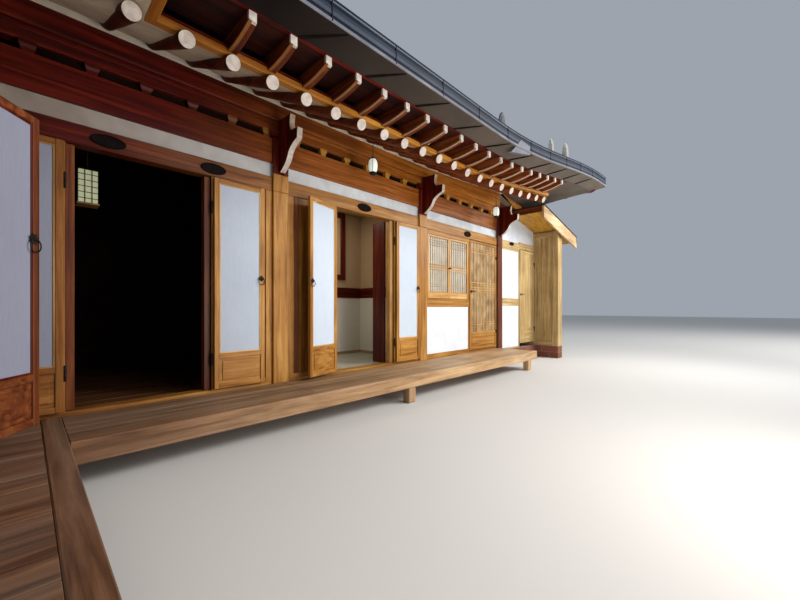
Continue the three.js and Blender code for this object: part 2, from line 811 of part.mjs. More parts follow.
// The slopes run into each other, to cut what lies against them.
const runTogether = Object.values(roofSlopes(-1));

// A ridge set on the tiles: cut to them, then raised clear.
const seated = (geometry) => cut(geometry, runTogether).translate(0, 0, 2 * GAP);

// What carries the tiles: cut to their underside, then lowered clear.
const fitted = (geometries) => cut(join(geometries), runTogether).translate(0, 0, -2 * GAP);

function roof() {
  const { front, right, back, outer, wing_end: wingEnd, inner } = SIDES;
  Object.entries(roofSlopes(GAP)).forEach(([name, geometry]) => node(name, geometry, TILE));
  node("ridges", seated(mainRidges()), TILE);
  node("right_end_ridges", seated(endRidges([FRONT, HALF_DEPTH], [1, 0])), TILE);
  node("wing_end_ridges", seated(endRidges([-HALF_DEPTH, -WING], [0, -1])), TILE);
  node("courtyard_gutter", join([gutter(front, -0.25, GAP), gutter(inner, GAP, 0)]), GUTTER);
  const behind = [gutter(right, 0, -1), gutter(back, 0, -1), gutter(outer, 0, -1), gutter(wingEnd, 0, 0)];
  node("outer_gutter", join(behind), GUTTER);
}

function eaves() {
  const { front, right, back, outer, wing_end: wingEnd, inner } = SIDES;
  const clear = CORNER_RAFTER.width / Math.SQRT2 + 3;
  const open = (side, from, to) => [...rafters(side), eaveBar(side, from, to)];
  const bottom = HEAD_BEAM[1] + GAP;
  const half = PURLIN_WIDTH / 2;
  const blocks = Array.from({ length: BLOCKS.count }, (_, k) => {
    const x = BLOCKS.first + k * BLOCKS.pitch;
    return box([x - BLOCKS.width / 2, -BEAM / 2, bottom], [x + BLOCKS.width / 2, BEAM / 2, BLOCK_TOP + 5]);
  });
  const frontParts = [
    ...open(front, GAP, GAP),
    fitted([eaveBoard(front, GAP, GAP), cornerRafter(front)]),
    purlin(front, BLOCK_TOP, 0, FRONT),
    box([FRONT - 5, -half, BLOCK_TOP], [FRONT + PURLIN_STUB, half, PURLIN_TOP - PURLIN_STUB_DROP]),
    ...blocks,
  ];
  node("main_front_rafters", join(frontParts), DARK_WOOD);
  const innerParts = [
    ...open(inner, clear, GAP),
    fitted([eaveBoard(inner, clear, GAP)]),
    purlin(inner, bottom, PURLIN_WIDTH, WING - PURLIN_WIDTH / 2 - GAP),
  ];
  node("wing_inner_rafters", join(innerParts), DARK_WOOD);
  const boards = [
    eaveBoard(right, clear, 0),
    eaveBoard(back, -1, 0),
    eaveBoard(outer, -1, 0),
    eaveBoard(wingEnd, -1, GAP),
  ];
  const behind = [
    ...open(right, clear, 0),
    ...open(back, -1, 0),
    ...open(outer, -1, 0),
    ...open(wingEnd, -1, GAP),
    fitted([...boards, ...[right, back, outer, wingEnd].map(cornerRafter)]),
    purlin(right, bottom, CORNER_RAFTER.width + half, DEPTH + half),
    purlin(back, bottom, -half, back.length + half),
    purlin(outer, bottom, -half, outer.length + half),
    purlin(wingEnd, bottom, -half, BAY + half),
  ];
  node("outer_rafters", join(behind), DARK_WOOD);
}

function mainFront() {
  const c = HALF_POST + GAP;
  const [a, b] = [BAY, 2 * BAY];
  node("corner_post", post(0, { forked: false }), WOOD);
  node("post_a", post(a), WOOD);
  node("post_b", post(b), WOOD);
  const bay3Pins = jambKnuckles(-1, LEAF.bottom, LEAF.top, 10).map((g) => g.translate(BAY3_HINGE, PIN_Y, 0));
  node("post_c", post(FRONT, { extras: bay3Pins }), WOOD);
  node("front_lintel", frontBeam(LINTEL), WOOD);
  node("front_frieze", frontBeam(FRIEZE, 60), PLASTER);
  node("front_head_beam", frontBeam(HEAD_BEAM), DARK_WOOD);
  const panels = [
    ["bay1", c, a - c, BAY1_HINGES],
    ["bay2", a + c, b - c, BAY2_HINGES],
  ];
  panels.forEach(([name, x0, x1, [left, right]]) => {
    node(name + "_left_panel", frontPanel(x0, left, [{ x: left, side: 1 }]), PLASTER);
    node(name + "_right_panel", frontPanel(right, x1, [{ x: right, side: -1 }]), PLASTER);
  });
  node("bay3_window_wall", windowWall(), WOOD);
  const { width, bottom, top } = LEAF;
  hungLeaf("bay1_left_leaf", leaf(1, width, bottom, top), BAY1_HINGES[0], PIN_Y, -180);
  hungLeaf("bay1_right_leaf", leaf(-1, width, bottom, top), BAY1_HINGES[1], PIN_Y, 180);
  hungLeaf("bay2_left_leaf", leaf(1, width, bottom, top), BAY2_HINGES[0], PIN_Y, -BAY2_LEFT_OPEN);
  hungLeaf("bay2_right_leaf", leaf(-1, width, bottom, top), BAY2_HINGES[1], PIN_Y, 180);
  const bay3Width = BAY3_HINGE - PIN_CLEAR - BAY3_DOOR_LEFT - 8;
  hungLeaf("bay3_door", leaf(-1, bay3Width, bottom, top), BAY3_HINGE, PIN_Y, 0);
}

function wingFront() {
  const { hinge, width, bottom, top, open } = WING_LEAF;
  const far = hinge + PIN_CLEAR + width + 8;
  const c = HALF_POST + GAP;
  const half = WALL / 2;
  const [z0, z1] = [SILL_TOP + GAP, LINTEL[0] - GAP];
  const jambHalf = BEAM / 2;
  const farEnd = -WING + half + GAP;
  const south = join([
    box([-half, farEnd, z0], [half, hinge, z1]),
    box([-jambHalf, hinge - JAMB, z0], [jambHalf, hinge, z1]),
    box([-half, -BAY - HALF_POST, z0], [HALF_POST, -BAY + HALF_POST, z1]),
    ...jambKnuckles(1, bottom, top).map((g) => g.rotateZ(Math.PI / 2).translate(-PIN_Y, hinge, 0)),
  ]);
  node("wing_wall_far", south, PLASTER);
  const north = join([
    box([-half, far, z0], [half, -c, z1]),
    box([-jambHalf, far, z0], [jambHalf, far + JAMB, z1]),
  ]);
  node("wing_wall_near", north, PLASTER);
  const reach = [hinge + GAP, far - GAP];
  node("wing_door_head", box([-jambHalf, reach[0], top + 10], [jambHalf, reach[1], z1]), WOOD);
  node("wing_door_sill", box([-jambHalf, reach[0], z0], [jambHalf, reach[1], bottom - 10]), WOOD);
  node("wing_head_beam", box([-jambHalf, farEnd, LINTEL[0]], [jambHalf, -c, HEAD_BEAM[1]]), DARK_WOOD);
  hungLeaf("wing_leaf", leaf(1, width, bottom, top), -PIN_Y, hinge, 90 - open);
}

function hiddenWalls() {
  const { right, back, outer, wing_end: wingEnd } = SIDES;
  const half = WALL / 2 + GAP;
  const c = HALF_POST + GAP;
  const backWindows = [1, 3, 5].map((k) => (k * BAY) / 2);
  node("right_wall", hiddenWall(right, c, DEPTH - half), PLASTER);
  const backFrom = -HALF_POST;
  node("back_wall", hiddenWall(back, backFrom, back.length + HALF_POST, backWindows), PLASTER);
  const outerWindows = [3, 5].map((k) => (k * BAY) / 2);
  node("outer_wall", hiddenWall(outer, half, outer.length + HALF_POST, outerWindows), PLASTER);
  node("wing_end_wall", hiddenWall(wingEnd, half, BAY + HALF_POST), PLASTER);
  backWindows.forEach((t, i) => node("back_window_" + (i + 1), rearWindow(back, t), PAPER));
  outerWindows.forEach((t, i) => node("outer_window_" + (i + 1), rearWindow(outer, t), PAPER));
}

function inside() {
  const l = WALL / 2 + GAP;
  const c = HALF_POST + GAP;
  const outline = [
    [-BAY + l, -WING + l],
    [-c, -WING + l],
    [-c, c],
    [FRONT - l, c],
    [FRONT - l, DEPTH - l],
    [-BAY + l, DEPTH - l],
  ];
  node("ceiling", slab(outline, ...CEILING), PLASTER);
  [BAY, 2 * BAY].forEach((x, i) => {
    const from = [x - WALL / 2, c, FLOOR + GAP];
    node("partition_" + (i + 1), box(from, [x + WALL / 2, DEPTH - l, CEILING[0] - GAP]), PLASTER);
  });
}

function decks() {
  const front = -HALF_POST - DECK_DEPTH;
  const back = -HALF_POST - GAP;
  const beamBottom = DECK_TOP - DECK_BEAM;
  const legY = front + DECK_EDGE / 2;
  const start = WING_DECK_EDGE + GAP;
  const mainBeam = [
    [start, front, beamBottom],
    [FRONT, front + DECK_EDGE, DECK_TOP],
  ];
  const mainLegs = [3700, 6900].map((x) => [x, legY]);
  node("main_deck", deck([start, front], [FRONT, back], mainBeam, mainLegs), DECK_WOOD);
  const wingBeam = [
    [WING_DECK_EDGE - DECK_EDGE, -WING - HALF_POST, beamBottom],
    [WING_DECK_EDGE, back, DECK_TOP],
  ];
  const wingLegs = [-BAY, -WING].map((y) => [WING_DECK_EDGE - DECK_LEG / 2, y]);
  const corner = [HALF_POST + GAP, -WING - HALF_POST];
  node("wing_deck", deck(corner, [WING_DECK_EDGE, back], wingBeam, wingLegs), DECK_WOOD);
}

function leanTo() {
  const { wallLeft, wall, right, back, wingFront: wingY, wingPost, wingPostRight, lintel } = LEAN;
  const postLeft = right - HALF_POST;
  const half = wall / 2;
  const baseFrom = [FRONT + HALF_POST + GAP, -HALF_POST, 0];
  const leanBase = join([
    box(baseFrom, [right, back, BASE_TOP]),
    box([postLeft, wingY, 0], [wingPostRight, -HALF_POST + 1, BASE_TOP]),
  ]);
  node("lean_to_base", leanBase, MASONRY);
  const z0 = BASE_TOP + GAP;
  const door = LEAN_DOOR.left;
  node("lean_to_window_panel", leanBlock(wallLeft, door, -half, half, z0), WOOD);
  node("lean_to_door_head", leanBlock(door + GAP, postLeft - GAP, -half, half, lintel), WOOD);
  const knuckles = jambKnuckles(-1, LEAF.bottom, lintel - 12, 10);
  const pins = knuckles.map((g) => g.translate(LEAN_DOOR.hinge, PIN_Y, 0));
  const side = join([
    leanBlock(postLeft, right, wingY, back - half - GAP, z0),
    leanBlock(postLeft, wingPostRight, wingY, wingY + wingPost, z0),
    ...pins,
  ]);
  node("lean_to_side_wall", side, WOOD);
  node("lean_to_back_wall", leanBlock(wallLeft, right, back - half, back + half, z0), PLASTER);
  node("lean_to_roof", leanRoof(), TILE);
  const width = LEAN_DOOR.hinge - PIN_CLEAR - door - 8;
  hungLeaf("lean_to_door", leaf(-1, width, LEAF.bottom, lintel - 12), LEAN_DOOR.hinge, PIN_Y, 0);
}

node("base", base(), MASONRY);
mainFront();
wingFront();
hiddenWalls();
inside();
decks();
leanTo();
eaves();
roof();

export default house;
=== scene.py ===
"""The looks of the hanok house, in metres; the origin is under the inner corner post."""
import math
import random

import bpy
from mathutils import Matrix, Vector


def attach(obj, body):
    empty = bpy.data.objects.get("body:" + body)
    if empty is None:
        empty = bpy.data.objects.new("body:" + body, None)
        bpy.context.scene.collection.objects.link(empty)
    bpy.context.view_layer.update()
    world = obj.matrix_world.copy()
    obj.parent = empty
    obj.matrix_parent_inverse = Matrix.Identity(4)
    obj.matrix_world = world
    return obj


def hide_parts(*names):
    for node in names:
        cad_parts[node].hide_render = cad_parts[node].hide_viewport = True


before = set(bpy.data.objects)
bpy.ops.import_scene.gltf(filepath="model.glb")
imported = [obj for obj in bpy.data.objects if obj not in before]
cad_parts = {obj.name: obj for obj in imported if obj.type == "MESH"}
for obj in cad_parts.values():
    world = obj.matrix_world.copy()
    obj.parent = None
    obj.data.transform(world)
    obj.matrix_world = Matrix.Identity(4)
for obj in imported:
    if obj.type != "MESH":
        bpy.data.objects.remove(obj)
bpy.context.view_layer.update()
rng = random.Random(7)

# Sizes shared with the solids.
BAY = 2.4
FRONT = 7.2
WING = 4.8
DEPTH = 2.4
OVERHANG = 1.5
HALF = 1.2
RUN = OVERHANG + HALF
GUTTER_OUT = 1.61
GABLE_INSET = 0.75
RISE = 0.41
RISE_LENGTH = 4.4
SKIRT_LEVEL = 1.4
GAP = 0.0003
PLINTH_TOP = 0.2705
FLOOR_TOP = 0.332
SILL = 0.35
LINTEL = (2.41, 2.567)
FRIEZE = (2.567, 2.718)
HEAD = (2.718, 2.99)
BLOCK_TOP = 3.07
POST = 0.09
WALL_TOP = LINTEL[0] - 0.0005
PIN_Y = -0.068
PIN_CLEAR = 0.013
MEETING = 0.008
LEAF_T = 0.035
LEAF_FOOT = 0.362
LEAF_HEAD = 2.398
HINGE_SHARES = (0.14, 0.86)
BAY1_HINGES = (0.655, 1.695)
BAY2_HINGES = (3.138, 4.178)
BAY3_DOOR = (6.12, 7.094)
WING_HINGE = -1.39
WING_LEAF = (0.745, 0.456, 2.256)
LEAN_DOOR = (8.11, 8.854)
LEAN_DOOR_HEAD = 2.438
LEAN_POST = 8.96
GUTTER_FOOT = 3.22
GUTTER_LIP = 3.40


class Mesh:
    """Faces gathered for one piece, each with a material, placed by the matrix `at`."""

    def __init__(self):
        self.verts, self.faces, self.mats, self.soft = [], [], [], []
        self.at = Matrix.Identity(4)

    def add(self, verts, faces, mat, soft=False):
        base = len(self.verts)
        self.verts += [tuple(self.at @ Vector(v)) for v in verts]
        self.faces += [tuple(base + i for i in f) for f in faces]
        self.mats += [mat] * len(faces)
        self.soft += [soft] * len(faces)


def piece(name, mesh, replaces=(), body="house"):
    """The gathered faces as one object that rides on a body."""
    data = bpy.data.meshes.new(name)
    data.from_pydata(mesh.verts, [], mesh.faces)
    names = sorted(set(mesh.mats))
    for n in names:
        data.materials.append(MATERIALS[n])
    data.polygons.foreach_set("material_index", [names.index(m) for m in mesh.mats])
    data.polygons.foreach_set("use_smooth", mesh.soft)
    data.validate()
    obj = bpy.data.objects.new(name, data)
    bpy.context.scene.collection.objects.link(obj)
    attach(obj, body)
    if replaces:
        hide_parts(*replaces)
    return obj


def block(mesh, low, high, mat, bevel=0.004):
    """A box with chamfered edges."""
    lo = [min(a, b) for a, b in zip(low, high)]
    hi = [max(a, b) for a, b in zip(low, high)]
    b = min([bevel] + [(h - l) * 0.45 for l, h in zip(lo, hi)])
    verts, index = [], {}
    for corner in [(i, j, k) for i in (0, 1) for j in (0, 1) for k in (0, 1)]:
        ends = [hi[a] if corner[a] else lo[a] for a in range(3)]
        for axis in range(3):
            v = [e if a == axis else e + (-b if corner[a] else b) for a, e in enumerate(ends)]
            index[corner, axis] = len(verts)
            verts.append(v)
    faces = []
    ring = [(0, 0), (1, 0), (1, 1), (0, 1)]
    for axis in range(3):
        others = [a for a in range(3) if a != axis]
        for side in (0, 1):
            corners = []
            for p in ring:
                c = [0, 0, 0]
                c[axis], c[others[0]], c[others[1]] = side, p[0], p[1]
                corners.append(index[tuple(c), axis])
            faces.append(corners if (side == 1) == (axis != 1) else corners[::-1])
        for p in ring:
            ends = []
            for side in (0, 1):
                c = [0, 0, 0]
                c[axis], c[others[0]], c[others[1]] = side, p[0], p[1]
                ends.append(tuple(c))
            a, b2 = others
            quad = [index[ends[0], a], index[ends[1], a], index[ends[1], b2], index[ends[0], b2]]
            flip = (p[0] == p[1]) == (axis != 1)
            faces.append(quad if flip else quad[::-1])
    for corner in [(i, j, k) for i in (0, 1) for j in (0, 1) for k in (0, 1)]:
        tri = [index[corner, a] for a in range(3)]
        faces.append(tri if sum(corner) % 2 else tri[::-1])
    mesh.add(verts, faces, mat)


def loft(mesh, rings, mat, soft=False, cap=None, closed=True):
    """A skin over rings of points, with flat ends of the material `cap`."""
    n = len(rings[0])
    verts = [v for ring in rings for v in ring]
    faces = []
    for r in range(len(rings) - 1):
        for i in range(n if closed else n - 1):
            a, b = r * n + i, r * n + (i + 1) % n
            faces.append((a, b, b + n, a + n))
    mesh.add(verts, faces, mat, soft)
    if closed:
        last = (len(rings) - 1) * n
        ends = [tuple(range(n))[::-1], tuple(range(last, last + n))]
        mesh.add(verts, ends, cap or mat)


def frame_of(a, b):
    """Across and up directions for a bar from a to b, with up as near to the vertical as it can be."""
    along = (Vector(b) - Vector(a)).normalized()
    flat = Vector((along.y, -along.x, 0))
    across = flat.normalized() if flat.length > 1e-4 else Vector((1, 0, 0))
    return across, across.cross(along)


def bar(mesh, a, b, section, mat):
    """A straight bar with a section in its own across and up directions."""
    across, up = frame_of(a, b)
    rings = []
    for point in (Vector(a), Vector(b)):
        rings.append([point + across * s + up * t for s, t in section])
    loft(mesh, rings, mat)


def rect(a, b, low, high):
    return [(a, low), (b, low), (b, high), (a, high)]


def circle(r, n=16):
    return [(r * math.cos(2 * math.pi * i / n), r * math.sin(2 * math.pi * i / n)) for i in range(n)]


def lathe(mesh, centre, profile, mat, n=16):
    """A turned solid about a vertical axis; the profile is a list of radius and height."""
    x, y, z = centre
    rings = [[(x + r * c, y + r * s, z + h) for c, s in circle(1, n)] for r, h in profile]
    loft(mesh, rings, mat, True)


def turned(mesh, centre, facing, profile, mat, n=12):
    """A turned solid about an axis along Y; the profile is a list of radius and distance."""
    x, y, z = centre
    rings = [[(x + r * c, y + facing * d, z + r * s) for c, s in circle(1, n)] for r, d in profile]
    loft(mesh, rings, mat, True)


def torus(mesh, centre, radius, tube, mat, n=20, m=8):
    """A ring in a plane along X and Z."""
    verts = []
    for i in range(n):
        a = 2 * math.pi * i / n
        for j in range(m):
            b = 2 * math.pi * j / m
            r = radius + tube * math.cos(b)
            verts.append(Vector(centre) + Vector((r * math.cos(a), tube * math.sin(b), r * math.sin(a))))
    faces = []
    for i in range(n):
        for j in range(m):
            p, q = i * m + j, i * m + (j + 1) % m
            r, s = (p + m) % (n * m), (q + m) % (n * m)
            faces.append((p, q, s, r))
    mesh.add(verts, faces, mat, True)


# Materials.


def new_material(name, rough, shine=0.3):
    mat = bpy.data.materials.new(name)
    mat.use_nodes = True
    shader = mat.node_tree.nodes["Principled BSDF"]
    shader.inputs["Roughness"].default_value = rough
    shader.inputs["Specular IOR Level"].default_value = shine
    return mat, mat.node_tree, shader


def noise(tree, scale, stretch=(1, 1, 1), detail=3.0, distortion=0.0):
    """Noise in object space, drawn out by dividing the scale along each axis."""
    nodes, links = tree.nodes, tree.links
    where = nodes.new("ShaderNodeTexCoord")
    mapping = nodes.new("ShaderNodeMapping")
    mapping.inputs["Scale"].default_value = stretch
    tex = nodes.new("ShaderNodeTexNoise")
    tex.inputs["Scale"].default_value = scale
    tex.inputs["Detail"].default_value = detail
    tex.inputs["Distortion"].default_value = distortion
    links.new(where.outputs["Object"], mapping.inputs["Vector"])
    links.new(mapping.outputs["Vector"], tex.inputs["Vector"])
    return tex.outputs["Fac"]


def ramp(tree, fac, stops):
    node = tree.nodes.new("ShaderNodeValToRGB")
    tree.links.new(fac, node.inputs["Fac"])
    band = node.color_ramp
    while len(band.elements) < len(stops):
        band.elements.new(0.5)
    for element, (at, colour) in zip(band.elements, stops):
        element.position = at
        element.color = (*colour, 1)
    return node.outputs["Color"]


def mix(tree, kind, fac, a, b):
    """Two colours blended; each may be a socket or a value."""
    node = tree.nodes.new("ShaderNodeMix")
    node.data_type = "RGBA"
    node.blend_type = kind
    for index, value in ((0, fac), (6, a), (7, b)):
        if isinstance(value, bpy.types.NodeSocket):
            tree.links.new(value, node.inputs[index])
        else:
            node.inputs[index].default_value = value if index == 0 else (*value, 1)
    return node.outputs[2]


def bump(tree, shader, height, strength, distance=0.002):
    node = tree.nodes.new("ShaderNodeBump")
    node.inputs["Strength"].default_value = strength
    node.inputs["Distance"].default_value = distance
    tree.links.new(height, node.inputs["Height"])
    tree.links.new(node.outputs["Normal"], shader.inputs["Normal"])


def along_front(tree, start, end):
    """Zero left of one place along the main front and one right of the other, in object space; it masks the
    shade painted along the front.
    """
    nodes, links = tree.nodes, tree.links
    where = nodes.new("ShaderNodeTexCoord")
    split = nodes.new("ShaderNodeSeparateXYZ")
    links.new(where.outputs["Object"], split.inputs[0])
    share = nodes.new("ShaderNodeMapRange")
    share.inputs["From Min"].default_value = start
    share.inputs["From Max"].default_value = end
    links.new(split.outputs["X"], share.inputs["Value"])
    return share.outputs[0]


def wood(name, tones, axis, rough, worn, shading):
    """Sawn timber with its grain along one axis: streaks, growth bands, pores and slow changes of tone.

    The tones are dark, mid and light. The last argument holds darker tones, painted shade for the sheltered
    end of the front, and the places along it where they start and end to give way."""
    mat, tree, shader = new_material(name, rough, 0.2)
    long = [1.0, 1.0, 1.0]
    long["xyz".index(axis)] = 0.05
    bands = noise(tree, 20, long, 5, 0.9)
    base = ramp(tree, bands, list(zip((0.32, 0.5, 0.7), tones)))
    # Painted shade: towards the sheltered end of the front the darker tones take over, standing in for the
    # shade there.
    if shading:
        shade_tones, start, end = shading
        before = ramp(tree, bands, list(zip((0.32, 0.5, 0.7), shade_tones)))
        base = mix(tree, "MIX", along_front(tree, start, end), before, base)
    pores = noise(tree, 190, long, 2)
    dots = ramp(tree, pores, [(0.3, (0.6, 0.52, 0.46)), (0.55, (1, 1, 1))])
    base = mix(tree, "MULTIPLY", 0.45, base, dots)
    patch = noise(tree, 1.9, (1, 1, 1), 3)
    slow = ramp(tree, patch, [(0.32, (0.62, 0.55, 0.48)), (0.62, (1.0, 1.0, 1.0))])
    base = mix(tree, "MULTIPLY", 0.6, base, slow)
    if worn:
        grey = ramp(tree, noise(tree, 5, long, 5), [(0.4, (0, 0, 0)), (0.7, (worn, worn, worn))])
        base = mix(tree, "MIX", grey, base, (0.20, 0.155, 0.115))
    tree.links.new(base, shader.inputs["Base Color"])
    bump(tree, shader, bands, 0.25 + worn * 0.9, 0.002 + worn * 0.003)
    return mat


def mottled(name, dark, light, scale, rough, strength, shine=0.3, detail=6.0, fine=90):
    """A matt surface with blotches and a fine tooth."""
    mat, tree, shader = new_material(name, rough, shine)
    blotch = noise(tree, scale, (1, 1, 1), detail, 0.4)
    base = ramp(tree, blotch, [(0.3, dark), (0.68, light)])
    tree.links.new(base, shader.inputs["Base Color"])
    bump(tree, shader, noise(tree, fine, (1, 1, 1), 3), strength, 0.002)
    return mat


def paper_material(name, colour, shaded_tone, start, end):
    """Mulberry paper: faint long fibres on a cool white, with painted shade that makes it dimmer at the
    sheltered end of the front.
    """
    mat, tree, shader = new_material(name, 0.85)
    fibres = noise(tree, 60, (1, 1, 0.12), 5, 1.5)
    cloud = noise(tree, 2.2, (1, 1, 1), 3)
    base = mix(tree, "MIX", along_front(tree, start, end), shaded_tone, colour)
    threads = ramp(tree, fibres, [(0.35, (0.86, 0.88, 0.90)), (0.6, (1, 1, 1))])
    base = mix(tree, "MULTIPLY", 0.5, base, threads)
    shade = ramp(tree, cloud, [(0.3, (0.9, 0.92, 0.95)), (0.7, (1, 1, 1))])
    base = mix(tree, "MULTIPLY", 0.6, base, shade)
    tree.links.new(base, shader.inputs["Base Color"])
    bump(tree, shader, fibres, 0.12, 0.001)
    return mat


def graded(name, shaded_tone, colour, start, end, rough, scale):
    """A mottled matt surface with painted shade that makes it darker at the sheltered end of the front."""
    mat, tree, shader = new_material(name, rough, 0.05)
    stops = [(0.3, (0.72, 0.72, 0.72)), (0.68, (1, 1, 1))]
    blotch = ramp(tree, noise(tree, scale, (1, 1, 1), 5, 0.4), stops)
    base = mix(tree, "MIX", along_front(tree, start, end), shaded_tone, colour)
    base = mix(tree, "MULTIPLY", 0.8, base, blotch)
    tree.links.new(base, shader.inputs["Base Color"])
    bump(tree, shader, noise(tree, 60, (1, 1, 1), 3), 0.1, 0.002)
    return mat


def masonry_material(name):
    """Red-brown courses with raked joints."""
    mat, tree, shader = new_material(name, 0.9)
    where = tree.nodes.new("ShaderNodeTexCoord")
    split = tree.nodes.new("ShaderNodeSeparateXYZ")
    tree.links.new(where.outputs["Object"], split.inputs[0])
    along = tree.nodes.new("ShaderNodeMath")
    tree.links.new(split.outputs["X"], along.inputs[0])
    tree.links.new(split.outputs["Y"], along.inputs[1])
    join = tree.nodes.new("ShaderNodeCombineXYZ")
    tree.links.new(along.outputs[0], join.inputs["X"])
    tree.links.new(split.outputs["Z"], join.inputs["Y"])
    brick = tree.nodes.new("ShaderNodeTexBrick")
    for key, value in (
        ("Scale", 1.0),
        ("Brick Width", 0.36),
        ("Row Height", 0.135),
        ("Mortar Size", 0.006),
        ("Mortar Smooth", 0.3),
        ("Color1", (0.17, 0.055, 0.035, 1)),
        ("Color2", (0.24, 0.085, 0.05, 1)),
        ("Mortar", (0.3, 0.2, 0.16, 1)),
    ):
        brick.inputs[key].default_value = value
    tree.links.new(join.outputs[0], brick.inputs["Vector"])
    grit = noise(tree, 40, (1, 1, 1), 5)
    shade = ramp(tree, grit, [(0.3, (0.5, 0.5, 0.5)), (0.7, (1, 1, 1))])
    base = mix(tree, "MULTIPLY", 0.6, brick.outputs["Color"], shade)
    tree.links.new(base, shader.inputs["Base Color"])
    bump(tree, shader, grit, 0.4, 0.004)
    return mat


def glow(name, colour, strength):
    mat, _tree, shader = new_material(name, 0.5)
    shader.inputs["Base Color"].default_value = (*colour, 1)
    shader.inputs["Emission Color"].default_value = (*colour, 1)
    shader.inputs["Emission Strength"].default_value = strength
    return mat


# The second tone sets below are painted shade for the sheltered end of the front; the darkest honey and stain
# sets also serve as the plain tones of the red and dark woods.
HONEY = ((0.22, 0.085, 0.012), (0.38, 0.175, 0.032), (0.50, 0.27, 0.070))
HONEY_DARK_AND_SHADED = ((0.060, 0.012, 0.003), (0.120, 0.030, 0.008), (0.20, 0.060, 0.016))
STAIN = ((0.26, 0.075, 0.008), (0.44, 0.155, 0.018), (0.56, 0.24, 0.036))
STAIN_DARK_AND_SHADED = ((0.022, 0.0008, 0.0005), (0.075, 0.0040, 0.0016), (0.15, 0.0125, 0.0040))
RAFTER = ((0.11, 0.020, 0.005), (0.21, 0.048, 0.010), (0.33, 0.100, 0.022))
RAFTER_SHADED = ((0.022, 0.0022, 0.001), (0.065, 0.009, 0.003), (0.15, 0.032, 0.009))
BOARD = ((0.055, 0.007, 0.002), (0.11, 0.018, 0.005), (0.20, 0.045, 0.011))
BOARD_SHADED = ((0.006, 0.0009, 0.0006), (0.018, 0.0022, 0.0012), (0.045, 0.006, 0.0025))
DECK = ((0.34, 0.21, 0.100), (0.52, 0.34, 0.175), (0.66, 0.47, 0.27))
DECK_SHADED = ((0.058, 0.024, 0.012), (0.140, 0.063, 0.033), (0.23, 0.115, 0.062))
LATTICE = ((0.30, 0.23, 0.145), (0.44, 0.37, 0.26), (0.56, 0.49, 0.38))
PALE = ((0.40, 0.20, 0.055), (0.57, 0.33, 0.11), (0.70, 0.47, 0.20))
ORANGE = ((0.15, 0.045, 0.007), (0.28, 0.085, 0.014), (0.40, 0.15, 0.03))
GOLD = ((0.27, 0.11, 0.014), (0.45, 0.21, 0.030), (0.58, 0.32, 0.065))
BRIGHT = ((0.38, 0.18, 0.022), (0.58, 0.30, 0.040), (0.70, 0.43, 0.085))
TAN = ((0.34, 0.22, 0.085), (0.48, 0.34, 0.15), (0.60, 0.46, 0.24))
RAKE = ((0.44, 0.29, 0.15), (0.60, 0.43, 0.24), (0.70, 0.54, 0.34))
DARK_RED = ((0.035, 0.003, 0.002), (0.085, 0.008, 0.0035), (0.16, 0.022, 0.008))
SHADED_FLOOR = ((0.045, 0.018, 0.008), (0.095, 0.038, 0.016), (0.14, 0.062, 0.028))
BAR = ((0.34, 0.13, 0.014), (0.48, 0.21, 0.028), (0.60, 0.32, 0.055))
BAR_SHADED = ((0.14, 0.035, 0.005), (0.26, 0.080, 0.011), (0.36, 0.13, 0.022))


# Name, grain axes, tones, roughness, wear and the painted shade: darker tones at the sheltered end and where
# they give way.
WOODS = (
    ("honey", "xyz", HONEY, 0.4, 0.0, (HONEY_DARK_AND_SHADED, -0.3, 2.4)),
    ("stain", "xyz", STAIN, 0.5, 0.0, (STAIN_DARK_AND_SHADED, 1.6, 5.4)),
    ("rafter", "xyz", RAFTER, 0.5, 0.0, (RAFTER_SHADED, 1.0, 4.5)),
    ("deck", "xyz", DECK, 0.5, 0.35, (DECK_SHADED, 0.4, 5.6)),
    ("bar", "xy", BAR, 0.4, 0.0, (BAR_SHADED, 0.4, 3.4)),
    ("boards", "xy", BOARD, 0.6, 0.0, (BOARD_SHADED, 3.0, 6.8)),
    ("pale", "xyz", PALE, 0.4, 0.0, (HONEY_DARK_AND_SHADED, -0.4, 1.6)),
    ("dark", "xyz", STAIN_DARK_AND_SHADED, 0.4, 0.0, None),
    ("red", "xyz", HONEY_DARK_AND_SHADED, 0.4, 0.0, None),
    ("lintel", "x", HONEY, 0.4, 0.0, (STAIN_DARK_AND_SHADED, 0.8, 3.8)),
    ("head", "x", ORANGE, 0.4, 0.0, (STAIN_DARK_AND_SHADED, 1.3, 3.3)),
    ("blocks", "x", GOLD, 0.45, 0.0, (STAIN_DARK_AND_SHADED, 1.5, 3.2)),
    ("panel", "z", GOLD, 0.45, 0.0, (HONEY_DARK_AND_SHADED, 0.3, 3.7)),
    ("tan", "xyz", TAN, 0.45, 0.0, None),
    ("soffit_board", "x", BRIGHT, 0.45, 0.0, None),
    ("rake", "x", RAKE, 0.5, 0.0, None),
    ("dark_red", "xyz", DARK_RED, 0.35, 0.0, None),
    ("dark_floor", "x", SHADED_FLOOR, 0.3, 0.0, None),
    ("lattice", "xz", LATTICE, 0.5, 0.0, None),
)

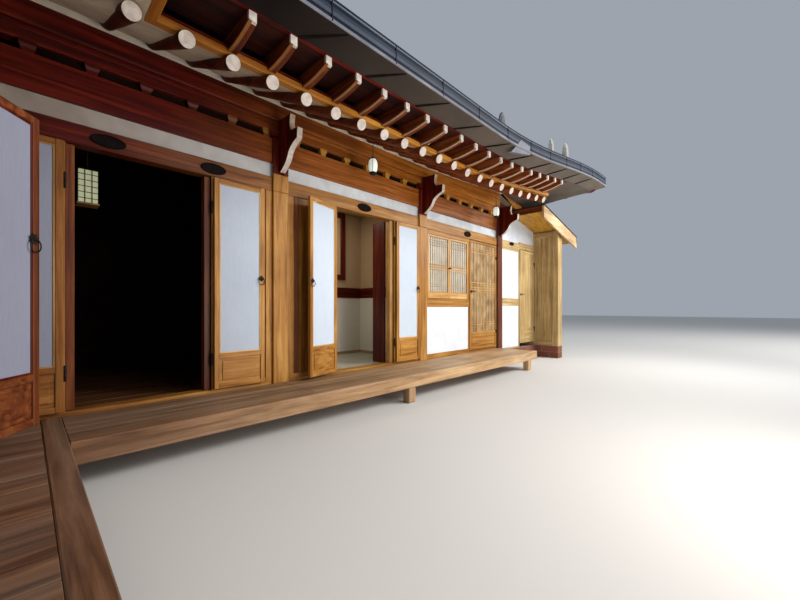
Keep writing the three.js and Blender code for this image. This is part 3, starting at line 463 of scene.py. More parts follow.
# Name, dark and light tone, size of the blotches, roughness, tooth, and then shine, detail and fineness.
MATT = (
    ("floor_paper", (0.34, 0.33, 0.25), (0.42, 0.41, 0.32), 2.5, 0.35, 0.05),
    ("block_paint", (0.30, 0.22, 0.15), (0.52, 0.43, 0.33), 24.0, 0.7, 0.2),
    ("white_wall", (0.58, 0.62, 0.68), (0.68, 0.72, 0.78), 5.0, 0.9, 0.15),
    ("plaster", (0.50, 0.47, 0.41), (0.68, 0.65, 0.58), 3.0, 0.9, 0.25),
    ("soffit", (0.42, 0.34, 0.25), (0.60, 0.52, 0.40), 4.0, 0.9, 0.3),
    ("white_paint", (0.40, 0.35, 0.31), (0.58, 0.53, 0.48), 24.0, 0.7, 0.2),
    ("tile", (0.035, 0.038, 0.044), (0.13, 0.135, 0.145), 9.0, 0.72, 0.5, 0.3, 8.0, 60),
    ("tile_pan", (0.025, 0.027, 0.032), (0.095, 0.1, 0.105), 7.0, 0.78, 0.5, 0.3, 6.0, 60),
    ("mortar", (0.46, 0.44, 0.40), (0.64, 0.62, 0.57), 20.0, 0.9, 0.4),
    ("gutter_dark", (0.004, 0.0065, 0.013), (0.008, 0.012, 0.022), 3.0, 0.5, 0.05, 0.05),
    ("gutter", (0.016, 0.022, 0.034), (0.028, 0.036, 0.052), 2.0, 0.5, 0.05, 0.05),
    ("gutter_mid", (0.035, 0.045, 0.065), (0.055, 0.068, 0.095), 2.0, 0.5, 0.05, 0.05),
    ("gutter_light", (0.07, 0.085, 0.12), (0.11, 0.13, 0.175), 2.0, 0.5, 0.05, 0.05),
    ("gutter_box", (0.11, 0.112, 0.135), (0.17, 0.172, 0.20), 4.0, 0.5, 0.05, 0.05),
    ("outlet", (0.11, 0.12, 0.145), (0.17, 0.18, 0.215), 6.0, 0.5, 0.05, 0.05),
    ("eave_sheet", (0.016, 0.013, 0.012), (0.040, 0.032, 0.028), 2.0, 0.5, 0.1, 0.05),
    ("iron", (0.008, 0.006, 0.005), (0.020, 0.015, 0.013), 25.0, 0.5, 0.3, 0.1),
    ("lacquer", (0.004, 0.003, 0.003), (0.009, 0.006, 0.006), 12.0, 0.7, 0.1, 0.05),
    ("shadow", (0.0045, 0.002, 0.0015), (0.012, 0.006, 0.004), 3.0, 0.8, 0.1, 0.03),
    ("amber", (0.16, 0.10, 0.045), (0.42, 0.30, 0.16), 5.0, 0.3, 0.1),
    ("pane", (0.34, 0.30, 0.235), (0.50, 0.46, 0.39), 5.0, 0.4, 0.1),
)

# Name, painted shade tone at the sheltered end and tone in the open, where one gives way to the other,
# roughness, blotches.
GRADED = (
    ("frieze", (0.34, 0.29, 0.25), (0.62, 0.66, 0.70), 0.6, 3.2, 0.9, 5.0),
    ("eave_metal", (0.010, 0.007, 0.007), (0.14, 0.115, 0.095), 1.6, 5.6, 0.6, 3.0),
    ("pale_edge", (0.24, 0.10, 0.035), (0.60, 0.48, 0.36), 2.2, 6.2, 0.6, 12.0),
)

# Name, tone in the open and painted shade tone at the sheltered end, and where one gives way to the other.
PAPERS = (
    ("paper", (0.50, 0.57, 0.66), (0.20, 0.205, 0.265), 0.4, 3.0),
    ("wallpaper", (0.50, 0.36, 0.21), (0.46, 0.32, 0.18), 0.0, 1.0),
    ("dado", (0.72, 0.70, 0.62), (0.66, 0.63, 0.55), 0.0, 1.0),
)

LAMPS = (
    ("lamp", (0.42, 0.44, 0.28), 0.55),
    ("lamp_warm", (0.68, 0.74, 0.66), 0.5),
)


def make_materials():
    made = {}
    for name, axes, tones, *rest in WOODS:
        for axis in axes:
            made[name + "_" + axis] = wood(name + "_" + axis, tones, axis, *rest)
    for kind, rows in ((mottled, MATT), (graded, GRADED), (paper_material, PAPERS), (glow, LAMPS)):
        for row in rows:
            made[row[0]] = kind(*row)
    made["masonry"] = masonry_material("masonry")
    return made


MATERIALS = make_materials()


# Roof.


class Side:
    """One side of the eaves, with how the roof ends at its start and its end."""

    def __init__(self, at, along, out, length, start, end, skirt=False):
        self.at, self.along, self.out = Vector(at), Vector(along), Vector(out)
        self.length, self.start, self.end, self.skirt = length, start, end, skirt
        self.top = -GABLE_INSET if skirt else -HALF
        self.grain, self.cross = "xy" if along[0] else "yx"


SIDES = {
    "front": Side((0, 0), (1, 0), (0, -1), FRONT, "valley", "gable"),
    "right": Side((FRONT, 0), (0, 1), (1, 0), DEPTH, "hip", "hip", True),
    "back": Side((FRONT, DEPTH), (-1, 0), (0, 1), FRONT + BAY, "gable", "hip"),
    "outer": Side((-BAY, DEPTH), (0, -1), (-1, 0), FRONT, "hip", "gable"),
    "wing_end": Side((-BAY, -WING), (1, 0), (0, -1), BAY, "hip", "hip", True),
    "inner": Side((0, -WING), (0, 1), (1, 0), WING, "gable", "valley"),
}


OUTER = ("right", "back", "outer", "wing_end")


def place(side, t, w, z):
    """A point t along a side, w outside its post line and at the height z."""
    flat = side.at + side.along * t + side.out * w
    return Vector((flat.x, flat.y, z))


def smooth(x):
    c = min(1.0, max(0.0, x))
    return c * c * (3 - 2 * c)


def rise(side, t, w):
    """How far the roof turns up towards a free corner."""
    gaps = [] if side.start == "valley" else [t + GUTTER_OUT]
    gaps += [] if side.end == "valley" else [side.length + GUTTER_OUT - t]
    gaps += [SKIRT_LEVEL] if side.skirt else []
    near = min(gaps)
    return RISE * smooth(1 - near / RISE_LENGTH) * min(1.05, (w + HALF) / RUN)


ROOF_EDGE = 3.36
ROOF_SLOPE = 0.36
ROOF_SAG = 0.09


def roof_top(w):
    """The height of the tile bed; the slope grows towards the ridge."""
    d = OVERHANG - w
    return ROOF_EDGE + ROOF_SLOPE * d + ROOF_SAG * d * d


UNDER = [(0, 3.18), (0.5, 3.215), (0.85, 3.29), (1.5, 3.57), (2.1, 3.9), (2.7, 4.26)]


def roof_under(w):
    """The height of the roof's underside, from straight lengths between the points of UNDER."""
    d = min(max(OVERHANG - w, 0), RUN)
    for (d0, z0), (d1, z1) in zip(UNDER, UNDER[1:]):
        if d <= d1:
            return z0 + (z1 - z0) * (d - d0) / (d1 - d0)


def row_start(side, w):
    return {"valley": w, "gable": min(-w, GABLE_INSET), "hip": -w}[side.start]


def row_end(side, w):
    return side.length + {"valley": -w, "gable": max(w, -GABLE_INSET), "hip": w}[side.end]


def sweep(mesh, side, section, mat, steps=24, trim=(0.0, 0.0), reach=None):
    """A section of points (w, z) run along the eaves, mitred at both ends.

    With a reach, it stops that far past the post line at a free corner."""
    rings = []
    for k in range(steps + 1):
        ring = []
        for w, z in section:
            a, b = row_start(side, w) + trim[0], row_end(side, w) - trim[1]
            if reach is not None:
                a = a if side.start == "valley" else -reach + trim[0]
                b = b if side.end == "valley" else side.length + reach - trim[1]
            t = a + (b - a) * k / steps
            ring.append(place(side, t, w, z + rise(side, t, w)))
        rings.append(ring)
    loft(mesh, rings, mat)


RAFTER_END = (1.06, 2.94)
RAFTER_HEAD = (-0.18, 3.552)
FALL = (RAFTER_HEAD[1] - RAFTER_END[1]) / (RAFTER_END[0] - RAFTER_HEAD[0])
SETTLED = ((0.9, 0.03), (1.5, 0.005), (2.3, -0.018), (3.1, 0.0), (4.2, 0.02), (5.2, -0.01), (6.2, -0.045),
           (7.2, -0.05))
RAFTER_PITCH = 0.3
RAFTER_RADIUS = 0.055


def settled(side, t):
    """How far a rafter of the main front has sunk or risen at its end."""
    if side is not SIDES["front"]:
        return 0.0
    for (a, low), (b, high) in zip(SETTLED, SETTLED[1:]):
        if t <= b:
            return low + (high - low) * (t - a) / (b - a)
    return SETTLED[-1][1]


def rafter_line(w):
    return RAFTER_END[1] + FALL * (RAFTER_END[0] - w)


def rafter_places(side):
    """Where the parallel rafters stand; they stop short of the corners."""
    inset = 0.33 if side.skirt else 0.186
    first = 0.9 if side.start == "valley" else inset
    last = side.length - (1.6 if side.end == "valley" else inset)
    count = round((last - first) / RAFTER_PITCH)
    return [first + (last - first) * k / count for k in range(count + 1)]


def round_rafter(mesh, a, b, radius):
    """A peeled log, a little uneven, with a painted end."""
    a, b = Vector(a), Vector(b)
    across, up = frame_of(a, b)
    shares = [0, 0.3, 0.6, 0.985, 1.0]
    rings = []
    for k, share in enumerate(shares):
        r = radius * (1.0 if k < 4 else 0.95) * (1 + rng.uniform(-0.02, 0.02) * (k < 3))
        centre = a.lerp(b, share)
        rings.append([centre + (across * c + up * s) * r for c, s in circle(1, 16)])
    loft(mesh, rings, "rafter_y" if abs((b - a).y) > abs((b - a).x) else "rafter_x", True, "white_paint")


def flying_rafter(mesh, point, end, cross):
    """A square rafter whose underside curves up to a small painted end."""
    top, root = 3.144, 0.8
    rings = []
    for share in (0.0, 0.42, 0.6, 0.75, 0.87, 0.965, 1.0):
        w = root + (end - root) * share
        deep = 0.118 - 0.044 * max(0.0, (share - 0.42) / 0.58) ** 2.2
        half = 0.034 - 0.007 * share
        low, high = point(w, top - deep), point(w, top)
        run = (point(w + 0.01, top) - point(w - 0.01, top)).normalized()
        side = Vector((-run.y, run.x, 0)).normalized() * half
        rings.append([low - side, low + side, high + side, high - side])
    loft(mesh, rings[:-1], "rafter_" + cross)
    loft(mesh, rings[-2:], "white_paint")
    # A pale strip along one lower edge is a painted highlight, dimmer towards the sheltered end of the front.
    edge = []
    for ring in rings[1:]:
        across = (ring[1] - ring[0]).normalized()
        down = Vector((0, 0, -0.002))
        near = ring[0] - across * 0.002
        edge.append([near + down, ring[0] + across * 0.022 + down, ring[0] + across * 0.022, near - down * 4])
    loft(mesh, edge, "pale_edge")


STRAP = ((1.40, 3.141, 0.016), (1.47, 3.164, 0.017), (1.55, 3.190, 0.013), (1.604, 3.207, 0.004))
STRAP_PITCH = 0.64
SEAM_PITCH = 0.66


def eave_sheets(mesh, side, trim):
    """The metal sheet from the tips of the flying rafters to the lip of the gutter, strapped at each seam."""
    sheet = [(1.395, 3.146), (1.50, 3.182), (1.609, 3.212), (1.609, 3.217), (1.50, 3.19), (1.395, 3.156)]
    # The sheet's tone has painted shade: near black at the sheltered end of the front, grey-brown in the
    # open.
    sweep(mesh, side, sheet, "eave_metal", trim=trim)
    for t in strap_places(side):
        rings = []
        for w, z, half in STRAP:
            at = t + (w - STRAP[0][0]) * 1.4
            ring = rect(-half, half, z - 0.004, z + 0.002)
            rings.append([place(side, at + s, w, h + rise(side, at, w)) for s, h in ring])
        loft(mesh, rings, "lacquer")


def strap_places(side):
    first = 1.86 if side.start == "valley" else -0.9
    last = side.length - (1.9 if side.end == "valley" else -0.9)
    return [first + STRAP_PITCH * k for k in range(int((last - first) / STRAP_PITCH) + 1)]


def seams(side):
    """Where the lengths of the gutter meet along one side."""
    first = 2.0 if side.start == "valley" else -1.27
    last = side.length - 1.9 if side.end == "valley" else side.length + 1.3
    return [first + SEAM_PITCH * k for k in range(int((last - first) / SEAM_PITCH) + 1)]


# How far the plaster between the rafters lies from their middle line, and the line of the corner sheet.
DROPS = ((-0.1, 0.0), (0.09, -0.014), (0.2, -0.028), (0.35, -0.024), (0.55, -0.012), (0.7, 0.0),
         (0.83, 0.01), (0.975, 0.017))
CORNER_LINE = ((0.075, 3.405), (0.16, 3.36), (0.5, 3.26), (1.0, 3.155), (1.2, 3.142), (1.395, 3.146))
CORNER_STEPS = 6


def rafters(name, side, node, lift):
    """The round rafters of one side and the square flying rafters over them."""
    logs, flying = Mesh(), Mesh()
    for t in rafter_places(side):

        def point(w, z):
            return place(side, t, w, z + rise(side, t, w))

        tip = point(RAFTER_END[0], RAFTER_END[1] + lift + settled(side, t))
        round_rafter(logs, point(*RAFTER_HEAD), tip, RAFTER_RADIUS)
        from_valley = t if side.start == "valley" else side.length - t if side.end == "valley" else 9
        end = min(1.39, from_valley - 0.08)
        if end >= 1.2:
            flying_rafter(flying, point, end, side.cross)
    piece(name + "_round_rafters", logs, [node])
    piece(name + "_flying_rafters", flying)


def eaves(name, side, node, trim=(0.0, 0.0)):
    """The rafters of one side with the eave bar, the boards over it and the plaster between the rafters."""
    lift = 0.12 if side.skirt else 0.0
    rafters(name, side, node, lift)
    trims = Mesh()
    z = 2.998
    bar_section = [(0.978, z), (1.036, z), (1.042, z + 0.006), (1.042, z + 0.05), (0.978, z + 0.05)]
    sweep(trims, side, bar_section, "bar_" + side.grain, trim=trim, reach=0.08)
    cap = [(0.978, z + 0.05), (1.05, z + 0.055), (1.05, z + 0.066), (0.978, z + 0.062)]
    sweep(trims, side, cap, "dark_" + side.grain, trim=trim, reach=0.08)
    piece(name + "_eave_bar", trims)
    boarding = Mesh()
    field = [(1.0, 3.142), (1.39, 3.142), (1.39, 3.165), (0.98, 3.165)]
    sweep(boarding, side, field, "boards_" + side.grain, trim=trim, reach=0.09)
    edge = [(1.37, 3.136), (1.396, 3.138), (1.396, 3.16), (1.37, 3.16)]
    sweep(boarding, side, edge, "dark_" + side.grain, trim=trim, reach=0.09)
    eave_sheets(boarding, side, trim)
    for free, mirrored in ((side.start, True), (side.end, False)):
        if free != "valley":
            corner_sheet(boarding, side, mirrored)
    piece(name + "_eave_boards", boarding)
    sheet = Mesh()
    under = [(w, rafter_line(w) + drop + lift * max(0, w) / RAFTER_END[0]) for w, drop in DROPS]
    over = [(w, z + 0.02) for w, z in under[::-1]]
    sweep(sheet, side, under + over, "soffit", 30, trim=trim, reach=0.07)
    piece(name + "_eave_plaster", sheet)


def corner_sheet(mesh, side, mirrored):
    """The plain sheet that closes a free corner of the eaves, from the last rafter to the mitre."""

    def point(past, w, z):
        t = -past if mirrored else side.length + past
        return place(side, t, w, z + rise(side, t, w))

    verts = []
    for w, z in CORNER_LINE:
        verts += [point(0.07 + (w - 0.07) * k / CORNER_STEPS, w, z) for k in range(CORNER_STEPS + 1)]
    n = CORNER_STEPS + 1
    faces = []
    for r in range(len(CORNER_LINE) - 1):
        faces += [(r * n + i, r * n + i + 1, r * n + i + n + 1, r * n + i + n) for i in range(CORNER_STEPS)]
    # The corner sheet takes the same painted shade along the front.
    mesh.add(verts, faces, "eave_metal")
    closing_board(mesh, side, point)


def closing_board(mesh, side, point):
    """The board between the corner sheet and the plaster over the last rafter."""
    rings = []
    for w, z in CORNER_LINE[:4]:
        low = min(z, rafter_line(w) - 0.03)
        spots = ((0.05, low), (0.05, z + 0.01), (0.066, z + 0.01), (0.066, low))
        rings.append([point(past, w, height) for past, height in spots])
    loft(mesh, rings, "stain_" + side.cross)


def purlin_bar(mesh, side, bottom, start, end, mat):
    steps = 8
    rings = []
    for k in range(steps + 1):
        t = start + (end - start) * k / steps
        top = 3.385 + rise(side, t, 0)
        c = 0.012
        ring = [(-0.08 + c, bottom), (0.08 - c, bottom), (0.08, bottom + c), (0.08, top - c), (0.08 - c, top)]
        ring += [(-0.08 + c, top), (-0.08, top - c), (-0.08, bottom + c)]
        rings.append([place(side, t, w, z) for w, z in ring])
    loft(mesh, rings, mat)


def tile_span(side, t):
    """The lowest and highest w of a column of tiles at t."""
    low = OVERHANG + 0.03
    if side.start == "valley":
        low = min(low, t - 0.06)
    if side.end == "valley":
        low = min(low, side.length - t - 0.06)
    high = side.top
    if side.start != "valley" and t < (GABLE_INSET if side.start == "gable" else 99):
        high = max(high, -t)
    if side.end != "valley" and side.length - t < (GABLE_INSET if side.end == "gable" else 99):
        high = max(high, t - side.length)
    return low, high


def column(mesh, side, t, section, mat, lift, step, end_lift=0.012, overlap=0.02):
    """A column of overlapping tiles, each a short trough or half pipe whose lower end lies on the next."""
    low, high = tile_span(side, t)
    if low - high < 0.12:
        return None
    count = max(1, round((low - high) / step))
    for k in range(count):
        w0 = low - (low - high) * k / count
        w1 = low - (low - high) * (k + 1) / count - overlap
        rings = []
        for w, up in ((w0, end_lift), (w1, 0.0)):
            w = max(w, high)
            z = roof_top(w) + rise(side, t, w) + lift + up
            rings.append([place(side, t + s, w, z + h) for s, h in section])
        verts = rings[0] + rings[1]
        n = len(section)
        mesh.add(verts, [(i, i + 1, i + 1 + n, i + n) for i in range(n - 1)], mat, True)
        lip = [v + Vector((0, 0, -end_lift)) for v in rings[0]]
        mesh.add(rings[0] + lip, [(i + 1, i, i + n, i + 1 + n) for i in range(n - 1)], mat)
    return low


COVER_PITCH = 0.27


def slope_tiles(name, side):
    """Rows of half-round cover tiles with rows of pan tiles between them."""
    cover = [(0.072 * math.cos(a), 0.068 * math.sin(a)) for a in [math.pi * k / 8 for k in range(9)]]
    pan = [(0.05 * k, 0.055 * (k / 3) ** 2) for k in range(-3, 4)]
    covers, pans = Mesh(), Mesh()
    first = 0.1 - (HALF if side.start == "valley" else OVERHANG)
    last = side.length - 0.1 + (HALF if side.end == "valley" else OVERHANG)
    count = round((last - first) / COVER_PITCH)
    gap = (last - first) / count
    for k in range(count + 1):
        t = first + gap * k
        low = column(covers, side, t, cover, "tile", -0.02, 0.3)
        if low and low > OVERHANG:
            disc(covers, side, t, low)
        if k < count:
            low = column(pans, side, t + gap / 2, pan, "tile_pan", -0.055, 0.27)
            if low and low > OVERHANG:
                drip(pans, side, t + gap / 2, low)
    piece(name + "_cover_tiles", covers, [name])
    piece(name + "_pan_tiles", pans)


def valley_trough():
    """The wide tiles in the valley, from the crossing of the ridges down to the gutter."""
    made = Mesh()
    side = SIDES["front"]
    count = 10
    for k in range(count):
        rings = []
        for share, up in ((k, 0.0), (k + 1.04, 0.014)):
            w = (OVERHANG + 0.04 + HALF) * min(share / count, 1.0) - HALF
            row = []
            for s in (-0.2, -0.1, 0.0, 0.1, 0.2):
                out = w - abs(s)
                row.append((w + s, w - s, roof_top(out) - 0.05 + up))
            top = [place(side, t, v, z) for t, v, z in row]
            low = [p - Vector((0, 0, 0.014)) for p in top[::-1]]
            rings.append(top + low)
        loft(made, rings, "tile_pan")
    piece("valley_trough", made)


def disc(mesh, side, t, w):
    """The round end tile of a column, with a raised rim and a plain boss."""
    z = roof_top(w) + rise(side, t, w) + 0.02
    centre = place(side, t, w, z)
    out = Vector((side.out.x, side.out.y, 0))
    along = Vector((side.along.x, side.along.y, 0))
    up = Vector((0, 0, 1))
    rings = []
    rim = ((0.072, -0.02), (0.074, 0.012), (0.060, 0.012), (0.056, 0.004))
    boss = ((0.03, 0.004), (0.022, 0.012))
    for r, d in rim + boss:
        rings.append([centre + out * d + (along * c + up * s) * r for c, s in circle(1, 14)])
    loft(mesh, rings, "tile")


def drip(mesh, side, t, w):
    """The curved end tile of a trough, hanging a little over the gutter."""
    z = roof_top(w) + rise(side, t, w) - 0.045
    spots = [-0.13, -0.087, -0.043, 0, 0.043, 0.087, 0.13]
    rings = []
    for s in spots:
        up = 0.05 * (s / 0.13) ** 2
        deep = 0.06 * (1 - (s / 0.13) ** 2) + 0.006
        a = place(side, t + s, w - 0.02, z + up)
        b = place(side, t + s, w + 0.012, z + up)
        rings.append([a, b, b + Vector((0, 0, -deep)), a + Vector((0, 0, -deep))])
    loft(mesh, rings, "tile")


def tile_height(out, across):
    w = abs(across) - HALF
    level = max(out, w) if out > -GABLE_INSET else w
    near = GUTTER_OUT - out if level == w else GUTTER_OUT - w
    return roof_top(level) + RISE * smooth(1 - near / RISE_LENGTH) * (level + HALF) / RUN


def ridge(mesh, points, width, courses):
    """Stacked ridge tiles: mortar core, thin courses that step in a little, and half-round caps on top.

    Each point gives a place on the tiles and the height of the ridge there."""
    path = []
    for a, b in zip(points, points[1:]):
        a, b = Vector(a), Vector(b)
        n = max(1, round((b - a).length / 0.3))
        path += [a.lerp(b, k / n) for k in range(n)]
    path.append(Vector(points[-1]))
    frames = []
    for i, spot in enumerate(path):
        run = path[min(i + 1, len(path) - 1)] - path[max(i - 1, 0)]
        side = Vector((-run.y, run.x, 0)).normalized()
        frames.append((Vector(spot[:3]), side, spot[3] - 0.07))
    up = Vector((0, 0, 1))

    def strip(section, mat):
        rings = []
        for p, side, body in frames:
            rings.append([p + side * s + up * (share * body + z) for s, share, z in section])
        loft(mesh, rings, mat)

    def band(low, high, half, mat):
        strip([(-half, low, 0), (half, low, 0), (half, high, 0), (-half, high, 0)], mat)

    band(-0.05, 1.0, width / 2 - 0.018, "mortar")
    for k in range(courses):
        band((k + 0.38) / courses, (k + 1) / courses, width / 2 - 0.006 - 0.03 * k / courses, "tile")
    arch = [math.pi * k / 8 for k in range(9)]
    strip([(width * 0.42 * math.cos(a), 1.0, 0.07 * math.sin(a)) for a in arch], "tile")
    for p, side, body in frames[1:-1]:
        along = Vector((side.y, -side.x, 0))
        rings = []
        across, tall = side * width * 0.445, up * 0.0756
        for d in (-0.014, 0.014):
            centre = p + along * d + up * body
            rings.append([centre + across * math.cos(a) + tall * math.sin(a) for a in arch])
        loft(mesh, rings, "tile")


def end_tile(mesh, at, out, width, height, mat="tile"):
    """The shield-shaped tile that closes a ridge, upright across it, with a raised rim and a plain field."""
    out = Vector((out[0], out[1], 0)).normalized()
    across = Vector((-out.y, out.x, 0))
    half = [(-0.36, 0.0), (-0.5, 0.12), (-0.5, 0.62), (-0.42, 0.78), (-0.27, 0.9), (-0.12, 0.965), (0.0, 1.0)]
    shape = half + [(-s, h) for s, h in half[-2::-1]]
    for grow, d0, d1 in ((1.0, -0.024, 0.012), (0.8, 0.012, 0.022), (0.4, 0.014, 0.024)):
        rings = []
        for d in (d0, d1):
            ring = []
            for s, h in shape:
                up = height * (0.55 + (h - 0.55) * grow)
                ring.append(Vector(at) + across * s * width * grow + Vector((0, 0, up)) + out * d)
            rings.append(ring)
        loft(mesh, rings, mat)


# Widths of the ridges, the height of the main one, and places along the others with their heights.
MAIN_RIDGE = 0.22
RIDGE_TALL = 0.39
SIDE_RIDGE = 0.19
SHIELD_WIDTH = 0.235
DESCENT = ((0.0, 0.26), (0.45, 0.26), (1.0, 0.26), (1.5, 0.275), (1.79, 0.33))
HIP_UPPER = ((-0.85, 0.26), (-0.4, 0.26), (0.1, 0.27), (0.5, 0.31), (0.8, 0.40))
HIP_LOWER = ((0.79, 0.29), (1.01, 0.37))


def hip_ridges(mesh, point, out):
    """A hip ridge in two steps, each closed by a pale shield tile."""
    for run in (HIP_UPPER, HIP_LOWER):
        spots = [point(w, height) for w, height in run]
        ridge(mesh, spots, SIDE_RIDGE, 5)
        x, y, z, height = spots[-1]
        end_tile(mesh, (x, y, z), out, SHIELD_WIDTH, height + 0.295, "mortar")


def gable_ridges(mesh, centre, out):
    """The two descending ridges of a gable, the hip ridges below them and the end of the main ridge."""
    (cx, cy), (ux, uy) = centre, out
    vx, vy = -uy, ux

    def point(away, across, height):
        x, y = cx + ux * away + vx * across, cy + uy * away + vy * across
        return x, y, tile_height(away, across) - 0.06, height + 0.06

    at = -GABLE_INSET - 0.0005 - SIDE_RIDGE / 2
    for hand in (-1, 1):
        fall = [point(at, hand * across, height) for across, height in DESCENT]
        ridge(mesh, fall, SIDE_RIDGE, 5)
        x, y, z, height = fall[-1]
        end_tile(mesh, (x, y, z), (vx * hand, vy * hand), SHIELD_WIDTH, height + 0.42)
        outward = (ux + vx * hand, uy + vy * hand)
        hip_ridges(mesh, lambda w, height: point(w, hand * (w + HALF), height), outward)
    top = roof_top(-HALF) - 0.04
    end_tile(mesh, (cx + ux * (at + 0.07), cy + uy * (at + 0.07), top), (ux, uy), 0.24, 0.42)


def ridges():
    """The main ridges, the outer hip where they meet, and the ridges at the two gables."""
    main = Mesh()
    top = roof_top(-HALF) - 0.06
    end = GABLE_INSET + SIDE_RIDGE
    for far in ((FRONT - end, HALF), (-HALF, -WING + end)):
        ridge(main, [(*far, top, RIDGE_TALL), (-HALF, HALF, top, RIDGE_TALL)], MAIN_RIDGE, 6)

    def corner(w, height):
        w = -HALF if w == HIP_UPPER[0][0] else w
        return -BAY - w, DEPTH + w, tile_height(w, w + HALF) - 0.06, height + 0.06

    hip_ridges(main, corner, (-1, 1))
    piece("main_ridges", main, ["ridges"])
    for name, centre, out in (
        ("right_end_ridges", (FRONT, HALF), (1, 0)),
        ("wing_end_ridges", (-HALF, -WING), (0, -1)),
    ):
        mesh = Mesh()
        gable_ridges(mesh, centre, out)
        piece(name + "_tiles", mesh, [name])


def gutter_seam(mesh, side, t):
    """The upright cover strip where two lengths of gutter meet."""
    o = GUTTER_OUT
    rings = []
    for z in (GUTTER_FOOT + 0.008, GUTTER_FOOT + 0.172):
        z += rise(side, t, o)
        rings.append([place(side, t + s, w, z) for s, w in rect(-0.005, 0.005, o - 0.01, o)])
    loft(mesh, rings, "gutter_dark")


def outlet_box(mesh, side, start, end):
    """The pale sheet-metal box on the front gutter that gathers its water, with a slanted end."""
    near, far = GUTTER_OUT - 0.05, GUTTER_OUT - 0.001
    base = GUTTER_FOOT + rise(side, end, GUTTER_OUT)
    rings = []
    cuts = ((start, start + 0.26, 0.14), (start + 0.06, start + 0.28, 0.135), (end, end, 0.03))
    for low, high, drop in cuts:
        foot, head = base - drop, base + 0.09
        corners = ((low, near, foot), (low, far, foot), (high, far, head), (high, near, head))
        rings.append([place(side, at, w, z) for at, w, z in corners])
    loft(mesh, rings, "outlet")


def gutters():
    """Folded sheet-metal gutters with bands of mouldings on their fronts, toned dark and light as painted
    shade and highlight of their folds.
    """
    b, t, o, i = GUTTER_FOOT, GUTTER_LIP, GUTTER_OUT, OVERHANG
    core = [(o - 0.012, t - 0.004), (o - 0.012, b), (i, b), (i, t - 0.03), (i + 0.006, t - 0.03)]
    core += [(i + 0.006, b + 0.008), (o - 0.03, b + 0.008), (o - 0.03, t - 0.004)]
    # Painted light and shade: each band's tone stands for how light falls on that fold, from the highlight
    # band to the near-black ones.
    bands = (
        (b + 0.166, t, 0.022, 0.0, "gutter_dark"),
        (b + 0.150, b + 0.164, 0.014, 0.002, "gutter_light"),
        (b + 0.120, b + 0.150, 0.014, 0.008, "gutter_dark"),
        (b + 0.090, b + 0.120, 0.014, 0.004, "gutter"),
        (b + 0.058, b + 0.090, 0.014, 0.003, "gutter_mid"),
        (b + 0.027, b + 0.058, 0.014, 0.008, "gutter_dark"),
        (b + 0.0, b + 0.027, 0.014, 0.0, "gutter_box"),
    )
    for name, keys in (("courtyard_gutter", ("front", "inner")), ("outer_gutter", OUTER)):
        mesh = Mesh()
        for side in [SIDES[key] for key in keys]:
            sweep(mesh, side, core, "eave_sheet", 30)
            for low, high, back, front, mat in bands:
                sweep(mesh, side, rect(o - back, o - front, low, high), mat, 30)
            for at in seams(side):
                gutter_seam(mesh, side, at)
        if name == "courtyard_gutter":
            outlet_box(mesh, SIDES["front"], 4.73, 5.25)
        piece(name + "_sheet", mesh, [name])


# Timber frame and walls.


def curve(a, c, b, n=8):
    """Points from a towards b, bent towards c."""
    points = []
    for t in [k / n for k in range(n)]:
        points.append(tuple((1 - t) ** 2 * p + 2 * t * (1 - t) * q + t * t * r for p, q, r in zip(a, c, b)))
    return points


def bracket(mesh, x):
    """The ogee bracket in two tiers on a post, near black at the sides with a white-painted front."""
    lower = curve((-0.12, 2.615), (-0.26, 2.68), (-0.30, 2.79))
    lower += curve((-0.30, 2.79), (-0.36, 2.85), (-0.47, 2.88)) + [(-0.47, 2.88), (-0.48, 2.985)]
    upper = curve((-0.35, 2.995), (-0.30, 3.06), (-0.34, 3.17)) + [(-0.34, 3.17)]
    shape = [(-0.085, 2.60), *lower, *upper, (-0.085, 3.18)]
    x0, x1 = x - 0.028, x + 0.028
    loft(mesh, [[(side, y, z) for y, z in shape] for side in (x1, x0)], "dark_z")
    # The upper tier's white front takes a darker, yellower tone as painted shade.
    for edge, paint in ((lower, "white_paint"), (upper, "block_paint")):
        rings = []
        for y, z in edge:
            rings.append([(u, v, z) for u, v in rect(x0 - 0.001, x1 + 0.001, y, y - 0.003)])
        loft(mesh, rings, paint)


def posts():
    """The corner post and the three posts of the main front, with their brackets."""
    corner = Mesh()
    block(corner, (-POST, -POST, PLINTH_TOP), (POST, POST, HEAD[1]), "honey_z", 0.008)
    piece("corner_post_timber", corner, ["corner_post"])
    for name, x in (("post_a", BAY), ("post_b", 2 * BAY), ("post_c", FRONT)):
        made = Mesh()
        mat = "red_z" if name == "post_c" else "honey_z"
        block(made, (x - POST, -POST, PLINTH_TOP), (x + POST, POST, LINTEL[0]), mat, 0.008)
        for y0, y1 in ((-POST, -0.0605), (0.0605, POST)):
            block(made, (x - POST, y0, LINTEL[0]), (x + POST, y1, 2.60), mat, 0.006)
            block(made, (x - POST, y0, 2.60), (x + POST, y1, HEAD[1]), "dark_red_z", 0.006)
        block(made, (x - 0.12, -0.10, 3.0), (x + 0.12, -0.062, 3.068), "dark_red_x", 0.006)
        bracket(made, x)
        piece(name + "_timber", made, [name])


BLOCKS = 19
BLOCK_START = 0.455
BLOCK_PITCH = 0.36


